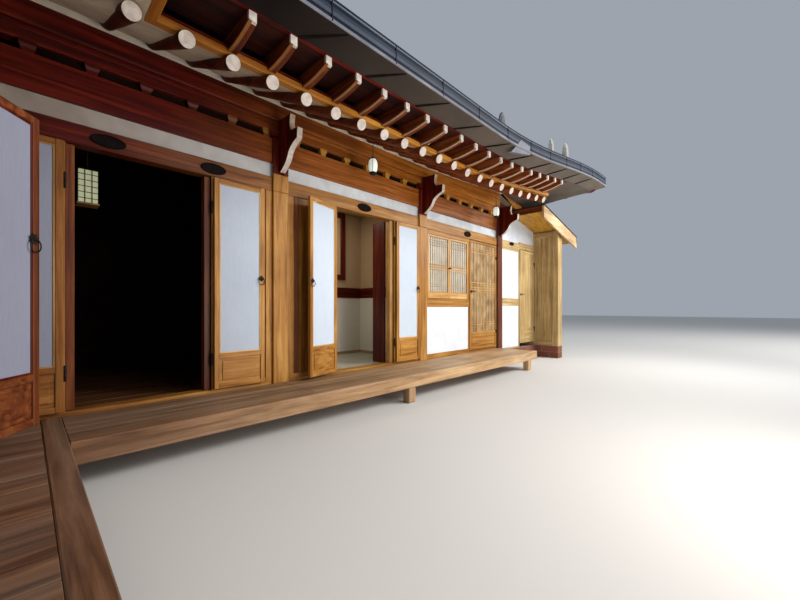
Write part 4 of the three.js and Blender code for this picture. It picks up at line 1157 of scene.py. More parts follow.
def front_beams():
    """The lintel, the plaster frieze and the head beam, and the purlin on its blocks."""
    # The frieze's plaster tone has painted shade, darker towards the sheltered end of the front.
    for node, half, (low, high), mat, slot in (
        ("front_lintel", 0.06, (LINTEL[0] + 0.0005, LINTEL[1]), "lintel_x", "wood"),
        ("front_frieze", 0.03, FRIEZE, "frieze", "plaster"),
        ("front_head_beam", 0.06, HEAD, "head_x", "dark_wood"),
    ):
        made = Mesh()
        bevel = 0.002 if slot == "plaster" else 0.006
        block(made, (POST + GAP, -half, low), (FRONT + POST, half, high), mat, bevel)
        piece(node + "_" + ("plaster" if slot == "plaster" else "timber"), made, [node])
    purlin = Mesh()
    block(purlin, (0.0, -0.048, BLOCK_TOP), (FRONT + 0.3, 0.048, 3.19), "stain_x", 0.006)
    block(purlin, (0.0, -0.054, 3.15), (FRONT + 0.3, 0.054, 3.168), "stain_x", 0.004)
    purlin_bar(purlin, SIDES["front"], 3.19, 0.0, FRONT, "stain_x")
    block(purlin, (FRONT, -0.08, 3.071), (FRONT + 0.449, 0.08, 3.288), "dark_red_x", 0.008)
    for k in range(BLOCKS):
        x = BLOCK_START + BLOCK_PITCH * k
        bearing_block(purlin, x)
        between = x + BLOCK_PITCH / 2
        low, high = (between - 0.13, -0.002, 2.991), (between + 0.13, 0.03, BLOCK_TOP + 0.005)
        block(purlin, low, high, "shadow", 0.002)
    purlin_line(purlin, "front")
    piece("front_purlin_timber", purlin)


def bearing_block(mesh, x):
    """A small block that narrows to its foot."""
    rings = []
    foot = ((0.034, 0.044, 2.9905), (0.036, 0.046, 3.02))
    head = ((0.048, 0.056, 3.045), (0.048, 0.056, 3.073))
    for half, deep, z in foot + head:
        rings.append([(u, v, z) for u, v in rect(x - half, x + half, -deep, deep)])
    loft(mesh, rings, "blocks_x")


def purlin_line(mesh, key):
    """The plaster that closes the gaps over a purlin, and its smooth pale edge in front of it."""
    sweep(mesh, SIDES[key], rect(0.055, 0.075, 3.34, 3.47), "soffit", 30)
    line = [(0.074, 3.352), (0.098, 3.354), (0.098, 3.405), (0.078, 3.412)]
    sweep(mesh, SIDES[key], line, "plaster", 30)


def side_purlins():
    """The purlins of the other sides."""
    half = 0.08
    for key, start, end in (
        ("inner", 2 * half, WING - 0.085),
        ("right", 0.28, DEPTH + half),
        ("back", -half, FRONT + BAY + half),
        ("outer", -half, FRONT + half),
        ("wing_end", -half, BAY + half),
    ):
        side = SIDES[key]
        made = Mesh()
        purlin_bar(made, side, HEAD[1] + 0.0005, start, end, "stain_" + side.grain)
        purlin_line(made, key)
        piece(key + "_purlin", made)


def corner_rafter(name, side):
    """The low rafter under a mitre of the eaves."""
    mesh = Mesh()
    rings = []
    half = 0.15 / 2 / math.sqrt(2)
    for w in (-0.06, 0.3, 0.65, 1.0, 1.3, 1.42):
        top = roof_under(w) + rise(side, side.length + w, w) - 0.002
        deep = 0.04 if w > 0 else 0.22
        low = place(side, side.length + w - half, w + half, 0)
        high = place(side, side.length + w + half, w - half, 0)
        corners = ((low, top - deep), (high, top - deep), (high, top), (low, top))
        rings.append([(spot.x, spot.y, z) for spot, z in corners])
    loft(mesh, rings, "dark_x")
    piece(name, mesh)


def framed_panel(mesh, x0, x1, z0, z1, stile):
    """A white panel in a timber frame."""
    block(mesh, (x0, -0.048, z0), (x1, 0.048, z1), "white_wall", 0.002)
    for x in (x0, x1 - stile):
        block(mesh, (x, -0.06, z0), (x + stile, 0.06, z1), "tan_z", 0.004)
    for z in (z0, z1 - stile):
        block(mesh, (x0 + stile, -0.059, z), (x1 - stile, 0.059, z + stile), "tan_x", 0.004)


def knuckles(mesh, x, y, bottom, top, upper):
    """The leaf's or the jamb's half of two black iron hinges."""
    for share in HINGE_SHARES:
        z = bottom + (top - bottom) * share - (0 if upper else 0.06 + GAP)
        profile = ((0.007, 0.0), (0.008, 0.002), (0.008, 0.058), (0.007, 0.06))
        lathe(mesh, (x, y, z), profile, "iron", 12)


def front_panels():
    """The fixed panels beside the leaves, each from its jamb at the hinge to the post."""
    c = POST + GAP
    for name, hinge, outer, side in (
        ("bay1_left_panel", BAY1_HINGES[0], c, 1),
        ("bay1_right_panel", BAY1_HINGES[1], BAY - c, -1),
        ("bay2_left_panel", BAY2_HINGES[0], BAY + c, 1),
        ("bay2_right_panel", BAY2_HINGES[1], 2 * BAY - c, -1),
    ):
        made = Mesh()

        def part(a, b, y0, y1, z0, z1, mat, bevel=0.004):
            block(made, (a, y0, z0), (b, y1, z1), mat, bevel)

        part(hinge, outer, -0.044, 0.05, SILL + 0.0005, WALL_TOP, "panel_z", 0.002)
        part(hinge, hinge - side * 0.065, -0.06, 0.06, SILL, WALL_TOP, "honey_z")
        part(outer, outer + side * 0.07, -0.058, 0.058, SILL, WALL_TOP, "honey_z")
        part(outer + side * 0.09, outer + side * 0.15, -0.050, 0.050, SILL, WALL_TOP, "red_z", 0.003)
        part(hinge, outer, -0.052, 0.056, SILL, SILL + 0.05, "honey_x")
        knuckles(made, hinge, PIN_Y, LEAF_FOOT, LEAF_HEAD, False)
        # The stop in the second bay's right jamb is pale wood as painted light: it stands in for the light
        # that reaches that jamb.
        stop = "pale_z" if name == "bay2_right_panel" else "red_z"
        part(hinge, hinge + side * 0.056, -0.026, 0.06, SILL + 0.002, WALL_TOP - 0.002, stop)
        piece(name + "_framing", made, [name])


# Doors.


def ring_handle(mesh, x, y, z, facing, star=False):
    """A ring on a shaped backplate; facing is the way it looks along Y."""
    points = []
    count = 16 if star else 24
    for k in range(count):
        a = 2 * math.pi * k / count
        r = (0.036 if k % 2 else 0.026) if star else 0.027 + 0.004 * math.cos(4 * a)
        points.append((x + r * math.cos(a), z + r * math.sin(a)))
    loft(mesh, [[(px, at, pz) for px, pz in points] for at in (y + facing * 0.003, y)], "iron")
    turned(mesh, (x, y, z), facing, ((0.012, 0.0), (0.011, 0.008), (0.006, 0.012)), "iron")
    size = 0.038 if star else 0.033
    torus(mesh, (x, y + facing * 0.010, z - size), size, 0.0035, "iron")


STILE = 0.045
RAIL_HALF = STILE / 2


def leaf(name, hinge, side, width, bottom, top, turn, timber="honey", style="paper"):
    """A leaf drawn about its pin when closed, then turned to its place at rest."""
    made = Mesh()
    made.at = Matrix.Translation((hinge[0], hinge[1], 0)) @ Matrix.Rotation(math.radians(turn), 4, "Z")
    a, b = PIN_CLEAR, PIN_CLEAR + width

    def part(u0, u1, y0, y1, z0, z1, mat, bevel=0.003):
        block(made, (side * u0, y0, z0), (side * u1, y1, z1), mat, bevel)

    split = bottom + (top - bottom) * 0.155
    part(a, a + STILE, 0, LEAF_T, bottom, top, timber + "_z")
    part(b - STILE, b, 0, LEAF_T, bottom, top, timber + "_z")
    rails = ((bottom, bottom + STILE), (top - STILE, top), (split - RAIL_HALF, split + RAIL_HALF))
    for z0, z1 in rails:
        part(a + STILE, b - STILE, 0.0005, LEAF_T - 0.0005, z0, z1, timber + "_x")
    inner = (a + STILE, b - STILE)
    field = (split + RAIL_HALF, top - STILE)
    star = name == "wing_leaf"
    if style == "planks":
        planks(part, inner, field, timber)
    elif style == "paper":
        paper_field(part, inner, field, "dark" if star else "pale")
    else:
        lattice_field(part, inner, field)
    part(*inner, 0.010, LEAF_T - 0.010, bottom + STILE, split - RAIL_HALF, timber + "_x", 0.002)
    raised = (bottom + STILE + 0.03, split - RAIL_HALF - 0.03)
    for y0, y1 in ((0.003, 0.011), (LEAF_T - 0.011, LEAF_T - 0.003)):
        part(inner[0] + 0.03, inner[1] - 0.03, y0, y1, *raised, timber + "_x", 0.008)
    knuckles(made, 0, 0, bottom, top, True)
    for share in HINGE_SHARES:
        z = bottom + (top - bottom) * share
        part(0.0, a + 0.004, 0.0005, 0.005, z + 0.001, z + 0.059, "iron", 0.001)
        part(a, a + 0.04, -0.0015, 0.001, z + 0.001, z + 0.059, "iron", 0.0008)
    middle = 1.542 if star else 1.45
    u = b - (0.042 if star else 0.038)
    for y, facing in ((0.0, -1), (LEAF_T, 1)):
        if style == "paper":
            ring_handle(made, side * u, y, middle, facing, star)
        else:
            lever(made, side * u, y, middle, facing, -side)
    piece(name + "_door", made, [name], name)


def paper_field(part, inner, field, bead):
    """A sheet of paper with a thin bead round it on both faces."""
    (u0, u1), (z0, z1) = inner, field
    thick = 0.012
    # The paper's tone has painted shade, dimmer towards the sheltered end of the front.
    part(u0, u1, 0.009, LEAF_T - 0.009, z0, z1, "paper", 0.001)
    for y0, y1 in ((0.003, 0.010), (LEAF_T - 0.010, LEAF_T - 0.003)):
        for a, b in ((u0, u0 + thick), (u1 - thick, u1)):
            part(a, b, y0, y1, z0, z1, bead + "_z", 0.002)
        for a, b in ((z0, z0 + thick), (z1 - thick, z1)):
            part(u0 + thick, u1 - thick, y0, y1, a, b, bead + "_x", 0.002)


def bar_rows(low, high, inset, pitch=0.045):
    """The heights of three groups of cross bars: three near each end and five in the middle."""
    rows = []
    for centre, n in ((low + inset, 3), ((low + high) / 2, 5), (high - inset, 3)):
        rows += [centre + (k - (n - 1) / 2) * pitch for k in range(n)]
    return rows


def lattice_field(part, inner, field):
    """An amber pane with pale bars on both faces."""
    part(*inner, 0.014, LEAF_T - 0.014, *field, "amber", 0.001)
    span = inner[1] - inner[0]
    for y0, y1 in ((0.004, 0.014), (LEAF_T - 0.014, LEAF_T - 0.004)):
        for k in range(1, 8):
            u = inner[0] + span * k / 8
            part(u - 0.006, u + 0.006, y0, y1, *field, "pale_z", 0.002)
        for z in bar_rows(*field, 0.13):
            part(*inner, y0 + 0.001, y1 - 0.001, z - 0.006, z + 0.006, "pale_x", 0.002)


def planks(part, inner, field, timber):
    """Upright boards with open joints, on both faces of a leaf."""
    part(*inner, 0.012, LEAF_T - 0.012, *field, "dark_z", 0.001)
    step = (inner[1] - inner[0]) / 5
    for y0, y1 in ((0.004, 0.0125), (LEAF_T - 0.0125, LEAF_T - 0.004)):
        for k in range(5):
            u = inner[0] + step * k
            part(u + 0.002, u + step - 0.002, y0, y1, *field, timber + "_z", 0.002)


def lever(mesh, x, y, z, facing, way):
    """A lever handle on a round plate."""
    stem = ((0.022, 0.0), (0.022, 0.005), (0.009, 0.007), (0.009, 0.04), (0.007, 0.043))
    turned(mesh, (x, y, z), facing, stem, "iron", 14)
    near, far = (x, y + facing * 0.032, z - 0.008), (x + way * 0.1, y + facing * 0.043, z + 0.008)
    block(mesh, near, far, "iron", 0.004)


def leaves():
    for name, (left, right), turn in (("bay1", BAY1_HINGES, -180), ("bay2", BAY2_HINGES, -162)):
        leaf(name + "_left_leaf", (left, PIN_Y), 1, 0.5, LEAF_FOOT, LEAF_HEAD, turn)
        leaf(name + "_right_leaf", (right, PIN_Y), -1, 0.5, LEAF_FOOT, LEAF_HEAD, 180)
    clear = PIN_CLEAR + MEETING
    far, hinge = BAY3_DOOR
    leaf("bay3_door", (hinge, PIN_Y), -1, hinge - far - clear, LEAF_FOOT, LEAF_HEAD, 0, style="lattice")
    leaf("wing_leaf", (-PIN_Y, WING_HINGE), 1, *WING_LEAF, 90 - 35, "red")
    far, hinge = LEAN_DOOR
    size = (hinge - far - clear, LEAF_FOOT, LEAN_DOOR_HEAD)
    leaf("lean_to_door", (hinge, PIN_Y), -1, *size, 0, "tan", "planks")


def casement(mesh, u0, u1, b, t):
    """A sliding sash: thin frame, deep foot rail, pale pane, and fine bars in front of it."""
    s = 0.034
    foot = b + 0.11
    for a, c in ((u0, u0 + s), (u1 - s, u1)):
        block(mesh, (a, -0.052, b + 0.002), (c, -0.012, t - 0.002), "pale_z", 0.003)
    for a, c in ((b + 0.002, foot), (t - s, t - 0.002)):
        block(mesh, (u0 + s, -0.051, a), (u1 - s, -0.013, c), "pale_x", 0.003)
    block(mesh, (u0 + s, -0.030, foot), (u1 - s, -0.024, t - s), "pane", 0.0005)
    block(mesh, (u0 + s, -0.0515, foot - 0.012), (u1 - s, -0.047, foot), "honey_x", 0.001)
    span = u1 - u0 - 2 * s
    for k in range(1, 9):
        x = u0 + s + span * k / 9
        block(mesh, (x - 0.004, -0.040, foot), (x + 0.004, -0.031, t - s), "lattice_z", 0.001)
    for centre, deep, mat in (
        ((b + t) / 2, 0.008, "pale_x"),
        (foot + 0.09, 0.004, "lattice_x"),
        (t - s - 0.09, 0.004, "lattice_x"),
    ):
        for z in (centre - 0.04, centre, centre + 0.04):
            block(mesh, (u0 + s, -0.043, z - deep), (u1 - s, -0.032, z + deep), mat, 0.001)


def window_wall():
    """The wall of the third bay, with its two sliding sashes over a white panel."""
    made = Mesh()
    z0, z1 = SILL, WALL_TOP
    x0, x1 = 2 * BAY + POST + GAP, BAY3_DOOR[0]
    l, r, b, t = 4.95, 6.09, 1.30, 2.34
    deep = 0.14
    block(made, (x0, -0.05, z0 + 0.0005), (x1, 0.05, b - deep), "white_wall", 0.002)
    block(made, (x0, -0.05, t + 0.055), (x1, 0.05, z1), "honey_x", 0.002)
    block(made, (x0, -0.022, b - deep), (x1, 0.05, z1), "honey_z", 0.002)
    block(made, (x0, -0.06, b - deep), (x1, 0.06, b), "honey_x", 0.005)
    block(made, (x0, -0.058, z0), (x1, 0.058, z0 + 0.05), "honey_x", 0.004)
    block(made, (x0, -0.0595, b), (l, 0.0595, t + 0.06), "honey_z", 0.004)
    block(made, (r, -0.0595, z0), (x1, 0.0595, z1), "honey_z", 0.004)
    block(made, (l, -0.059, t), (r, 0.059, t + 0.06), "honey_x", 0.004)
    middle = (l + r) / 2
    casement(made, l + 0.001, middle - 0.001, b, t)
    casement(made, middle + 0.001, r - 0.001, b, t)
    for side in (-1, 1):
        knob = ((0.010, 0.0), (0.006, 0.006), (0.006, 0.014), (0.013, 0.02), (0.010, 0.03), (0.002, 0.033))
        turned(made, (middle + 0.014 * side, -0.052, (b + t) / 2), -1, knob, "iron")
    piece("bay3_window_frame", made, ["bay3_window_wall"])


# Wing, hidden walls, decks and lean-to.


def wing_front():
    """The wall, door frame and head beam of the wing's courtyard front."""
    width, foot, top = WING_LEAF
    far = WING_HINGE + PIN_CLEAR + width + MEETING
    end = -WING + 0.0505
    z0, z1 = SILL, WALL_TOP
    made = Mesh()
    block(made, (-0.05, end, z0), (0.05, WING_HINGE, z1), "plaster", 0.002)
    block(made, (-0.06, -1.45, z0), (0.06, WING_HINGE, z1), "honey_z", 0.004)
    block(made, (-0.05, -BAY - POST, z0), (POST, -BAY + POST, z1), "honey_z", 0.006)
    for a, b in ((-4.74, -2.49), (-2.31, -1.45)):
        for z in (z0, 1.06, z1 - 0.05):
            block(made, (0.045, a, z), (0.058, b, z + 0.05), "honey_y", 0.004)
    knuckles(made, -PIN_Y, WING_HINGE, foot, top, False)
    piece("wing_wall_far_plaster", made, ["wing_wall_far"])
    near = Mesh()
    block(near, (-0.05, far, z0), (0.05, -POST - GAP, z1), "plaster", 0.002)
    block(near, (-0.06, far, z0), (0.06, far + 0.06, z1), "red_z", 0.004)
    for z in (z0, 1.06):
        block(near, (0.045, far + 0.06, z), (0.058, -POST - 0.002, z + 0.05), "red_y", 0.004)
    piece("wing_wall_near_plaster", near, ["wing_wall_near"])
    for node, low, high in (("wing_door_head", top + 0.01, z1), ("wing_door_sill", z0, foot - 0.01)):
        made = Mesh()
        block(made, (-0.06, WING_HINGE + GAP, low), (0.06, far - GAP, high), "honey_y", 0.004)
        piece(node + "_timber", made, [node])
    head = Mesh()
    layers = ((LINTEL, "honey_y", 0.06), (FRIEZE, "plaster", 0.03), (HEAD, "stain_y", 0.06))
    for (low, high), mat, half in layers:
        block(head, (-half, end, low), (half, -POST - GAP, high), mat, 0.005)
    piece("wing_head_beam_timber", head, ["wing_head_beam"])


BACK_WINDOW = (1.15, 2.14)
BACK_WINDOWS = (1.2, 3.6, 6.0)
OUTER_WINDOWS = (3.6, 6.0)
WINDOW_HALF = 0.45
RAIL = 1.06


def on_side(mesh, side):
    """A function that adds blocks in the coordinates of one side: along it, outward and up."""

    def part(a, b, w0, w1, low, high, mat, bevel=0.004):
        block(mesh, place(side, a, w0, low), place(side, b, w1, high), mat, bevel)

    return part


def hidden_wall(key, t0, t1, windows=()):
    """A plain plastered wall between posts and rails, with openings for its windows."""
    side = SIDES[key]
    made = Mesh()
    part = on_side(made, side)
    z0, z1 = PLINTH_TOP, HEAD[1]
    lo, hi = BACK_WINDOW
    edges = [t0] + [e for t in windows for e in (t - WINDOW_HALF, t + WINDOW_HALF)] + [t1]
    for k in range(0, len(edges), 2):
        part(edges[k], edges[k + 1], -0.05, 0.05, z0, z1, "plaster", 0.002)
    for t in windows:
        a, b = t - WINDOW_HALF, t + WINDOW_HALF
        for low, high in ((z0, lo), (hi, z1)):
            part(a, b, -0.05, 0.05, low, high, "plaster", 0.002)
        for u in (a, b - 0.05):
            part(u, u + 0.05, 0.04, 0.075, lo, hi, "honey_z")
    count = round(side.length / BAY)
    for k in range(count + 1):
        a, b = max(t0, k * BAY - POST), min(t1, k * BAY + POST)
        if b > a:
            part(a, b, 0.045, POST, z0, z1, "honey_z", 0.006)
    for low, high in ((z0, 0.4), (RAIL, lo), (hi, 2.25)):
        part(t0, t1, 0.045, 0.07, low, high, "honey_" + side.grain)
    part(t0, t1, 0.045, 0.07, *HEAD, "stain_" + side.grain)
    for k in range(count):
        middle = (k + 0.5) * BAY
        if not any(abs(middle - t) < 0.8 for t in windows):
            for low, high in ((0.4, RAIL), (lo, hi)):
                part(middle - 0.045, middle + 0.045, 0.045, 0.066, low, high, "honey_z")
    piece(key + "_wall_plaster", made, [key + "_wall"])


def rear_window(name, key, t):
    """Two papered sashes with a plain lattice."""
    side = SIDES[key]
    made = Mesh()
    part = on_side(made, side)
    lo, hi = BACK_WINDOW[0] + 0.0005, BACK_WINDOW[1] - 0.0005
    half, s = WINDOW_HALF - 0.0005, 0.05
    for a, b in ((t - half, t), (t, t + half)):
        inner = (a + s, b - s)
        for u0, u1 in ((a, a + s), (b - s, b)):
            part(u0 + 0.001, u1 - 0.001, -0.02, 0.02, lo, hi, "honey_z", 0.002)
        for z0, z1 in ((lo, lo + s), (hi - s, hi)):
            part(*inner, -0.019, 0.019, z0, z1, "honey_" + side.grain, 0.002)
        part(*inner, -0.012, -0.008, lo + s, hi - s, "paper", 0.0005)
        for k in range(1, 6):
            u = inner[0] + (inner[1] - inner[0]) * k / 6
            part(u - 0.005, u + 0.005, -0.008, 0.01, lo + s, hi - s, "honey_z", 0.001)
        for z in bar_rows(lo, hi, 0.16):
            part(*inner, -0.007, 0.009, z - 0.005, z + 0.005, "honey_" + side.grain, 0.001)
    piece(name + "_lattice", made, [name])


def boards(mesh, x0, x1, y0, y1, z0, z1, width, mat, gap=0.004):
    """Planks along X, laid side by side with open joints and slightly uneven tops."""
    count = max(1, round((y1 - y0) / width))
    pitch = (y1 - y0) / count
    for k in range(count):
        a, b = y0 + pitch * k + gap / 2, y0 + pitch * (k + 1) - gap / 2
        drop = rng.uniform(0, 0.003)
        block(mesh, (x0, a, z0), (x1, b, z1 - drop), mat, 0.003)


def decks():
    """The two verandas: boards between a front beam and the wall, on joists and short posts."""
    top, beam = FLOOR_TOP, 0.15
    under, over = top - 0.045, top - 0.002
    wall = -POST - GAP
    front = -POST - 0.765
    start = 0.6303
    made = Mesh()
    block(made, (start, front, top - beam), (FRONT, front + 0.11, top), "deck_x", 0.006)
    joints = [start, BAY, 2 * BAY, FRONT]
    for a, b in zip(joints, joints[1:]):
        boards(made, a + 0.002, b - 0.002, front + 0.112, wall, under, over, 0.13, "deck_x")
    for x in (BAY, 3.7, 2 * BAY, 6.9):
        joist = (x + 0.045, wall, under - 0.001)
        block(made, (x - 0.045, front + 0.112, top - 0.14), joist, "deck_y", 0.004)
    for x in (3.7, 6.9):
        foot = (x - 0.06, front + 0.002, 0.002)
        block(made, foot, (x + 0.06, front + 0.108, top - beam - 0.001), "deck_z", 0.008)
    piece("main_deck_boards", made, ["main_deck"])
    wing = Mesh()
    end = -WING - POST
    boards(wing, -wall, 0.518, end, wall, under, over, 0.17, "deck_x", 0.007)
    block(wing, (-wall, end, top - 0.07), (0.518, wall, under - 0.002), "shadow", 0.002)
    block(wing, (0.52, end, top - beam), (0.63, wall, top), "deck_y", 0.006)
    for y in (-BAY, -WING):
        block(wing, (0.515, y - 0.055, 0.002), (0.625, y + 0.055, top - beam - 0.001), "deck_z", 0.008)
    piece("wing_deck_boards", wing, ["wing_deck"])


def base():
    """The base keeps its solid, and the sills lie over it."""
    assign("base", "masonry")
    made = Mesh()
    c = POST + GAP
    half = 0.0615
    for k in range(3):
        block(made, (BAY * k + c, -half, 0.3), (BAY * (k + 1) - c, half, SILL + 0.0015), "honey_x", 0.004)
    block(made, (-half, -WING + c, 0.3), (half, -c, SILL + 0.0015), "honey_y", 0.004)
    piece("sills", made)


def assign(node, mat):
    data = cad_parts[node].data
    data.materials.clear()
    data.materials.append(MATERIALS[mat])


LEAN_START = 7.9
LEAN_END = 9.8
LEAN_TOP = 3.294
LEAN_FALL = 0.22


def lean_top(x):
    return LEAN_TOP - LEAN_FALL * (x - LEAN_START)


def roof_foot(x):
    """The height at which the walls of the lean-to meet its roof."""
    return lean_top(x) - 0.152


def sloped(mesh, x0, x1, y0, y1, under, over, mat):
    """A layer that follows the lean-to roof, between two depths below its top."""
    rings = []
    for x in (x0, x1):
        rings.append([(x, y, z) for y, z in rect(y0, y1, lean_top(x) - under, lean_top(x) - over)])
    loft(mesh, rings, mat)


def upright(mesh, x0, x1, y0, y1, z0, z1, width, mat):
    """Upright boards with open joints, side by side along the longer side in plan."""
    along_x = x1 - x0 > y1 - y0
    lo, hi = (x0, x1) if along_x else (y0, y1)
    count = max(1, round((hi - lo) / width))
    for k in range(count):
        a, b = lo + (hi - lo) * k / count + 0.002, lo + (hi - lo) * (k + 1) / count - 0.002
        low, high = ((a, y0, z0), (b, y1, z1)) if along_x else ((x0, a, z0), (x1, b, z1))
        block(mesh, low, high, mat, 0.003)


def gable_field(mesh, spots, foot):
    """White plaster from a level foot up to the underside of the lean-to roof."""
    rings = []
    for x, top in spots:
        rings.append([(x, y, z) for y, z in rect(-0.03, 0.03, foot, top)])
    loft(mesh, rings, "white_wall")


def lean_to():
    """The front of the lean-to: a framed white panel, the field over it and the head of its door."""
    post = LEAN_POST - POST
    door = LEAN_DOOR[0]
    assign("lean_to_base", "masonry")
    panel = Mesh()
    x0, stile = FRONT + POST + GAP, 0.035
    framed_panel(panel, x0, door, PLINTH_TOP, LINTEL[0], stile)
    block(panel, (x0 + stile, -0.056, 1.19), (door - stile, 0.056, 1.35), "tan_x", 0.005)
    block(panel, (x0, -0.06, LINTEL[0]), (door, 0.06, LINTEL[1]), "tan_x", 0.005)
    spots = ((x0, 3.06), (LEAN_START, roof_foot(LEAN_START)), (door, roof_foot(door)))
    gable_field(panel, spots, LINTEL[1])
    piece("lean_to_panel_framing", panel, ["lean_to_window_panel"])
    head = Mesh()
    x0, x1 = door + 0.0005, post - 0.0005
    block(head, (x0, -0.06, LEAN_DOOR_HEAD + 0.012), (x1, 0.06, 2.6), "tan_x", 0.005)
    gable_field(head, ((x0, roof_foot(x0)), (x1, roof_foot(x1))), 2.6)
    piece("lean_to_door_head_timber", head, ["lean_to_door_head"])
    lean_to_side(post)
    assign("lean_to_back_wall", "plaster")
    lean_to_roof()


def lean_to_side(post):
    """The outer wall of the lean-to: three posts, upright boards and two rails."""
    side = Mesh()
    z0, top = PLINTH_TOP, roof_foot(LEAN_POST)
    for y in (-0.61, 1.4):
        block(side, (post, y, z0), (9.11 if y < 0 else LEAN_POST, y + 0.14, top - 0.001), "tan_z", 0.006)
    for a, b in ((-0.47, -POST), (POST, 1.4)):
        upright(side, post + 0.03, LEAN_POST - 0.015, a, b, z0, top, 0.15, "tan_z")
    block(side, (post, -POST, z0), (LEAN_POST, POST, top), "tan_z", 0.006)
    for z in (z0, top - 0.14):
        block(side, (post + 0.01, -0.47, z), (LEAN_POST - 0.005, 1.4, z + 0.12), "tan_y", 0.005)
    knuckles(side, LEAN_DOOR[1], PIN_Y, LEAF_FOOT, LEAN_DOOR_HEAD, False)
    piece("lean_to_side_framing", side, ["lean_to_side_wall"])


def lean_to_roof():
    """The roof of the lean-to: ceiling boards, barge boards and seamed sheet metal."""
    roof = Mesh()
    x0, x1, y0, y1, rake = LEAN_START, LEAN_END, -0.7, 1.76, 0.04
    count = 17
    pitch = (y1 - y0 - 2 * rake) / count
    for k in range(count):
        a = y0 + rake + pitch * k
        sloped(roof, x0 + 0.003, x1 - 0.03, a + 0.002, a + pitch - 0.002, 0.149, 0.13, "soffit_board_x")
    sloped(roof, x0 + 0.003, x1 - 0.03, y0 + rake, y1 - rake, 0.13, 0.03, "honey_x")
    sloped(roof, x0, x0 + 0.012, y0 + rake, y1 - rake, 0.149, 0.03, "red_y")
    for a, b in ((y0, y0 + rake), (y1 - rake, y1)):
        sloped(roof, x0, x1, a, b, 0.28, 0.028, "rake_x")
    block(roof, (x1 - 0.03, y0, lean_top(x1) - 0.15), (x1, y1, lean_top(x1) - 0.02), "rake_x", 0.003)
    sloped(roof, x0, x1, y0 - 0.004, y1 + 0.004, 0.03, 0.0, "eave_sheet")
    for k in range(7):
        y = y0 + 0.06 + (y1 - y0 - 0.12) * k / 6
        sloped(roof, x0, x1, y - 0.011, y + 0.011, 0.002, -0.022, "eave_sheet")
    piece("lean_to_roof_boards", roof, ["lean_to_roof"])


# Rooms and fittings.


def rooms():
    """The papered room behind the second bay, seen through its doorway."""
    assign("ceiling", "wallpaper")
    for k in (1, 2):
        assign("partition_" + str(k), "wallpaper")
    dark_room()
    made = Mesh()
    x0, x1, back, front = BAY + 0.051, 2 * BAY - 0.051, 1.39, 0.062
    floor, dado, rail, foot = FLOOR_TOP, 1.33, 1.50, 0.38
    block(made, (x0, back, floor), (x1, back + 0.02, dado), "dado", 0.002)
    block(made, (x0, back - 0.014, dado - 0.01), (x1, back + 0.02, rail), "dark_red_x", 0.004)
    block(made, (x0, back, rail), (x1, back + 0.02, 2.798), "wallpaper", 0.002)
    for x, facing in ((x0, 1), (x1, -1)):
        block(made, (x, front, floor), (x + facing * 0.012, back, dado), "dado", 0.002)
        block(made, (x, front, dado - 0.01), (x + facing * 0.02, back - 0.014, rail), "dark_red_y", 0.004)
    block(made, (x0, back - 0.012, floor), (x1, back, foot), "deck_x", 0.002)
    block(made, (x1 - 0.02, front, floor), (x1 - 0.008, back - 0.013, foot), "deck_y", 0.002)
    wall_frame(made, 3.60, 4.37, 1.63, 2.79, back)
    block(made, (4.115, 0.09, floor), (4.15, 0.34, LINTEL[0]), "dark_red_z", 0.004)
    block(made, (x0, 0.061, 0.3305), (x1, back, 0.334), "floor_paper", 0.001)
    piece("room_lining", made)


def wall_frame(mesh, x0, x1, z0, z1, y):
    """A bare timber frame with a sunk board on the back wall of the room."""
    width = 0.09
    for x in (x0, x1 - width):
        block(mesh, (x, y - 0.05, z0), (x + width, y, z1), "dark_red_z", 0.004)
    for z in (z0, z1 - width):
        block(mesh, (x0 + width, y - 0.049, z), (x1 - width, y, z + width), "dark_red_x", 0.004)
    block(mesh, (x0 + width, y - 0.02, z0 + width), (x1 - width, y, z1 - width), "wallpaper", 0.002)


def dark_room():
    """Near-black boarding over the walls and ceiling of the room behind the first bay, and dark floor boards:
    painted shade for the unlit room.
    """
    made = Mesh()
    x0, x1, back = -2.34, BAY - 0.051, DEPTH - 0.052
    low, high = FLOOR_TOP, 2.799
    block(made, (0.06, back - 0.016, low), (x1, back, high), "shadow", 0.002)
    upright(made, x0 + 0.01, 0.06, back - 0.016, back, low, high, 0.3, "shadow")
    upright(made, x1 - 0.014, x1, 0.062, back - 0.02, low, high, 0.3, "shadow")
    block(made, (x0, 0.062, high - 0.017), (x1, back, high + 0.0005), "shadow", 0.002)
    # The floor boards' dark tone is painted shade for the unlit room.
    boards(made, x0, x1, 0.061, back, 0.3302, 0.336, 0.12, "dark_floor_x")
    piece("unlit_room_shade_boards", made)


def paper_lamp(mesh, x, y, top, width, height, stem):
    """A paper box lamp on a rod, with a thin black lattice of three by six lights."""
    half, low = width / 2, top - height
    rod = [(0.045, stem), (0.045, stem - 0.012), (0.005, stem - 0.014), (0.005, 0.0)]
    lathe(mesh, (x, y, top), rod, "iron", 12)
    core = half - 0.014
    block(mesh, (x - core, y - core, low + 0.018), (x + core, y + core, top - 0.01), "lamp", 0.003)
    block(mesh, (x - half, y - half, top - 0.012), (x + half, y + half, top), "lacquer", 0.002)
    block(mesh, (x - half, y - half, low), (x + half, y + half, low + 0.018), "pale_x", 0.003)
    for turn in range(4):
        c, s = ((1, 0), (0, 1), (-1, 0), (0, -1))[turn]

        def bar_at(u0, u1, z0, z1):
            near, far = [
                (x + u * c - d * s, y + u * s + d * c, z)
                for u, d, z in ((u0, half - 0.008, z0), (u1, half - 0.002, z1))
            ]
            block(mesh, near, far, "lacquer", 0.001)

        for k in range(4):
            u = -half + 0.006 + (width - 0.012) * k / 3
            bar_at(u - 0.004, u + 0.004, low + 0.01, top - 0.006)
        for k in range(1, 6):
            z = low + height * k / 6
            bar_at(-half, half, z - 0.003, z + 0.003)


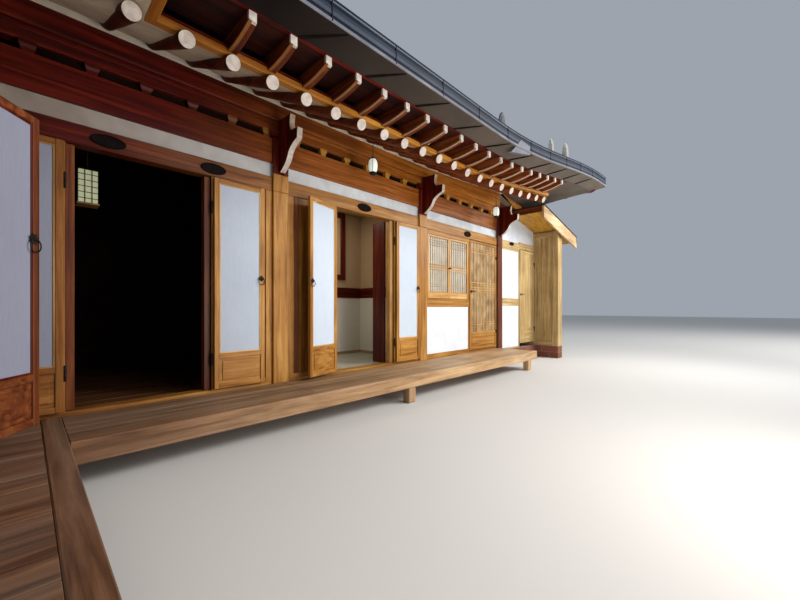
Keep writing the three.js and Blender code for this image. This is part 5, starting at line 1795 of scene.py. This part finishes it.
def jar_lantern(mesh, x, y, low, high, stem):
    """A glass jar between a dark cap and foot, hung on a rod from the eaves."""
    tall = high - low
    jar = ((0.036, 0.1), (0.052, 0.25), (0.057, 0.5), (0.050, 0.75), (0.034, 0.88))
    lathe(mesh, (x, y, low), [(r, share * tall) for r, share in jar], "lamp_warm", 20)
    lathe(mesh, (x, y, low), [(0.02, -0.012), (0.042, 0.0), (0.044, 0.012), (0.036, 0.024)], "iron", 20)
    cap = [(0.036, tall * 0.86), (0.052, tall * 0.88), (0.03, tall * 0.96), (0.012, tall)]
    lathe(mesh, (x, y, low), cap, "iron", 20)
    lathe(mesh, (x, y, high), [(0.004, 0.0), (0.004, stem)], "iron", 8)
    for k in range(4):
        c, s = math.cos(math.pi * (k / 2 + 0.25)), math.sin(math.pi * (k / 2 + 0.25))
        spots = [(x + (r + 0.004) * c, y + (r + 0.004) * s, low + share * tall) for r, share in jar]
        for p, q in zip(spots, spots[1:]):
            bar(mesh, p, q, rect(-0.002, 0.002, -0.002, 0.002), "iron")


def lanterns():
    made = Mesh()
    for x in (3.43, 6.41):
        jar_lantern(made, x, -0.44, 2.79, 3.0, 0.19)
    piece("eave_lanterns", made)
    room = Mesh()
    paper_lamp(room, 0.89, 1.1, 2.55, 0.178, 0.36, 0.243)
    piece("room_lantern", room)


def plaque(mesh, x, z, rx, rz):
    """A bare oval board in black lacquer."""
    rings = []
    edge = ((0.96, -0.0602), (1.0, -0.064), (1.0, -0.074), (0.95, -0.079), (0.86, -0.079), (0.83, -0.076))
    for grow, y in edge:
        rings.append([(x + rx * grow * c, y, z + rz * grow * s) for c, s in circle(1, 28)])
    loft(mesh, rings, "lacquer")


def plaques():
    made = Mesh()
    for x, rx in ((0.915, 0.115), (1.712, 0.115), (3.611, 0.115), (6.054, 0.10)):
        plaque(made, x, 2.484, rx, 0.05)
    plaque(made, 7.73, 2.52, 0.09, 0.036)
    piece("bare_plaques", made)


# Stage, light and camera.


def stage():
    mesh = bpy.data.meshes.new("floor")
    r = 60
    mesh.from_pydata([(-r, -r, 0), (r, -r, 0), (r, r, 0), (-r, r, 0)], [], [(0, 1, 2, 3)])
    mat, _tree, shader = new_material("floor", 0.9)
    shader.inputs["Base Color"].default_value = (0.62, 0.61, 0.59, 1)
    mesh.materials.append(mat)
    floor = bpy.data.objects.new("floor", mesh)
    floor.location = (0, 0, -0.001)
    bpy.context.scene.collection.objects.link(floor)


def lights():
    scene = bpy.context.scene
    scene.view_settings.view_transform = "Standard"
    world = bpy.data.worlds.new("studio")
    scene.world = world
    world.use_nodes = True
    back = world.node_tree.nodes["Background"]
    back.inputs["Color"].default_value = (0.80, 0.88, 1.0, 1)
    back.inputs["Strength"].default_value = 0.42
    for name, at, to, size, power, colour in (
        ("key", (15, -13, 10), (6, 0, 1.2), 5, 2600, (1.0, 0.98, 0.94)),
        ("near", (9.2, -3.6, 3.4), (6.2, -0.3, 0.6), 1.8, 105, (1.0, 0.98, 0.95)),
        ("bounce", (3.6, -4.9, 0.7), (3.8, -0.3, 3.1), 1.6, 90, (1.0, 0.86, 0.68)),
        ("fill", (3.4, -5.2, 2.6), (2.4, 0, 1.6), 3.5, 90, (0.95, 0.96, 1.0)),
        ("rim", (-12, 12, 14), (0, 0, 2), 8, 1500, (0.95, 0.97, 1.0)),
        ("room", (3.6, 0.7, 2.7), (3.7, 0.9, 0.5), 0.7, 9, (1.0, 0.93, 0.80)),
    ):
        lamp = bpy.data.lights.new(name, "AREA")
        lamp.energy, lamp.size, lamp.color = power, size, colour
        obj = bpy.data.objects.new(name, lamp)
        obj.location = at
        obj.rotation_euler = (Vector(to) - Vector(at)).to_track_quat("-Z", "Y").to_euler()
        scene.collection.objects.link(obj)


EYE = (0.44, -3.81, 1.142)
LOOK = (0.717, 0.697, 0)
LENS = 16.425


def camera():
    data = bpy.data.cameras.new("camera")
    data.lens, data.sensor_width = LENS, 36
    data.shift_y = 0.01
    data.clip_start, data.clip_end = 0.05, 300
    obj = bpy.data.objects.new("camera", data)
    obj.location = EYE
    obj.rotation_euler = Vector(LOOK).to_track_quat("-Z", "Y").to_euler()
    bpy.context.scene.collection.objects.link(obj)
    bpy.context.scene.camera = obj


camera()
lights()
stage()
posts()
front_beams()
front_panels()
leaves()
window_wall()
wing_front()
# The rafters of the wing and the right end start clear of the corner rafter.
clear = 0.16 / math.sqrt(2) + 0.003
eaves("main_front", SIDES["front"], "main_front_rafters")
eaves("wing_inner", SIDES["inner"], "wing_inner_rafters", (clear, 0.0))
for key, trim in (("right", (clear, 0)), ("back", (0, 0)), ("outer", (0, 0)), ("wing_end", (0, 0))):
    eaves(key, SIDES[key], "outer_rafters", trim)
side_purlins()
for key in ("front", *OUTER):
    corner_rafter(key + "_corner_rafter", SIDES[key])
hidden_wall("right", POST, DEPTH - 0.05)
hidden_wall("back", -POST, FRONT + BAY + POST, BACK_WINDOWS)
hidden_wall("outer", 0.05, FRONT + POST, OUTER_WINDOWS)
hidden_wall("wing_end", 0.05, BAY + POST)
for key, places in (("back", BACK_WINDOWS), ("outer", OUTER_WINDOWS)):
    for k, t in enumerate(places):
        rear_window(f"{key}_window_{k + 1}", key, t)
decks()
base()
lean_to()
rooms()
lanterns()
plaques()
for key, name in (
    ("front", "main_front_roof"),
    ("right", "right_skirt_roof"),
    ("back", "main_back_roof"),
    ("outer", "wing_outer_roof"),
    ("wing_end", "wing_end_skirt_roof"),
    ("inner", "wing_inner_roof"),
):
    slope_tiles(name, SIDES[key])
valley_trough()
ridges()
gutters()
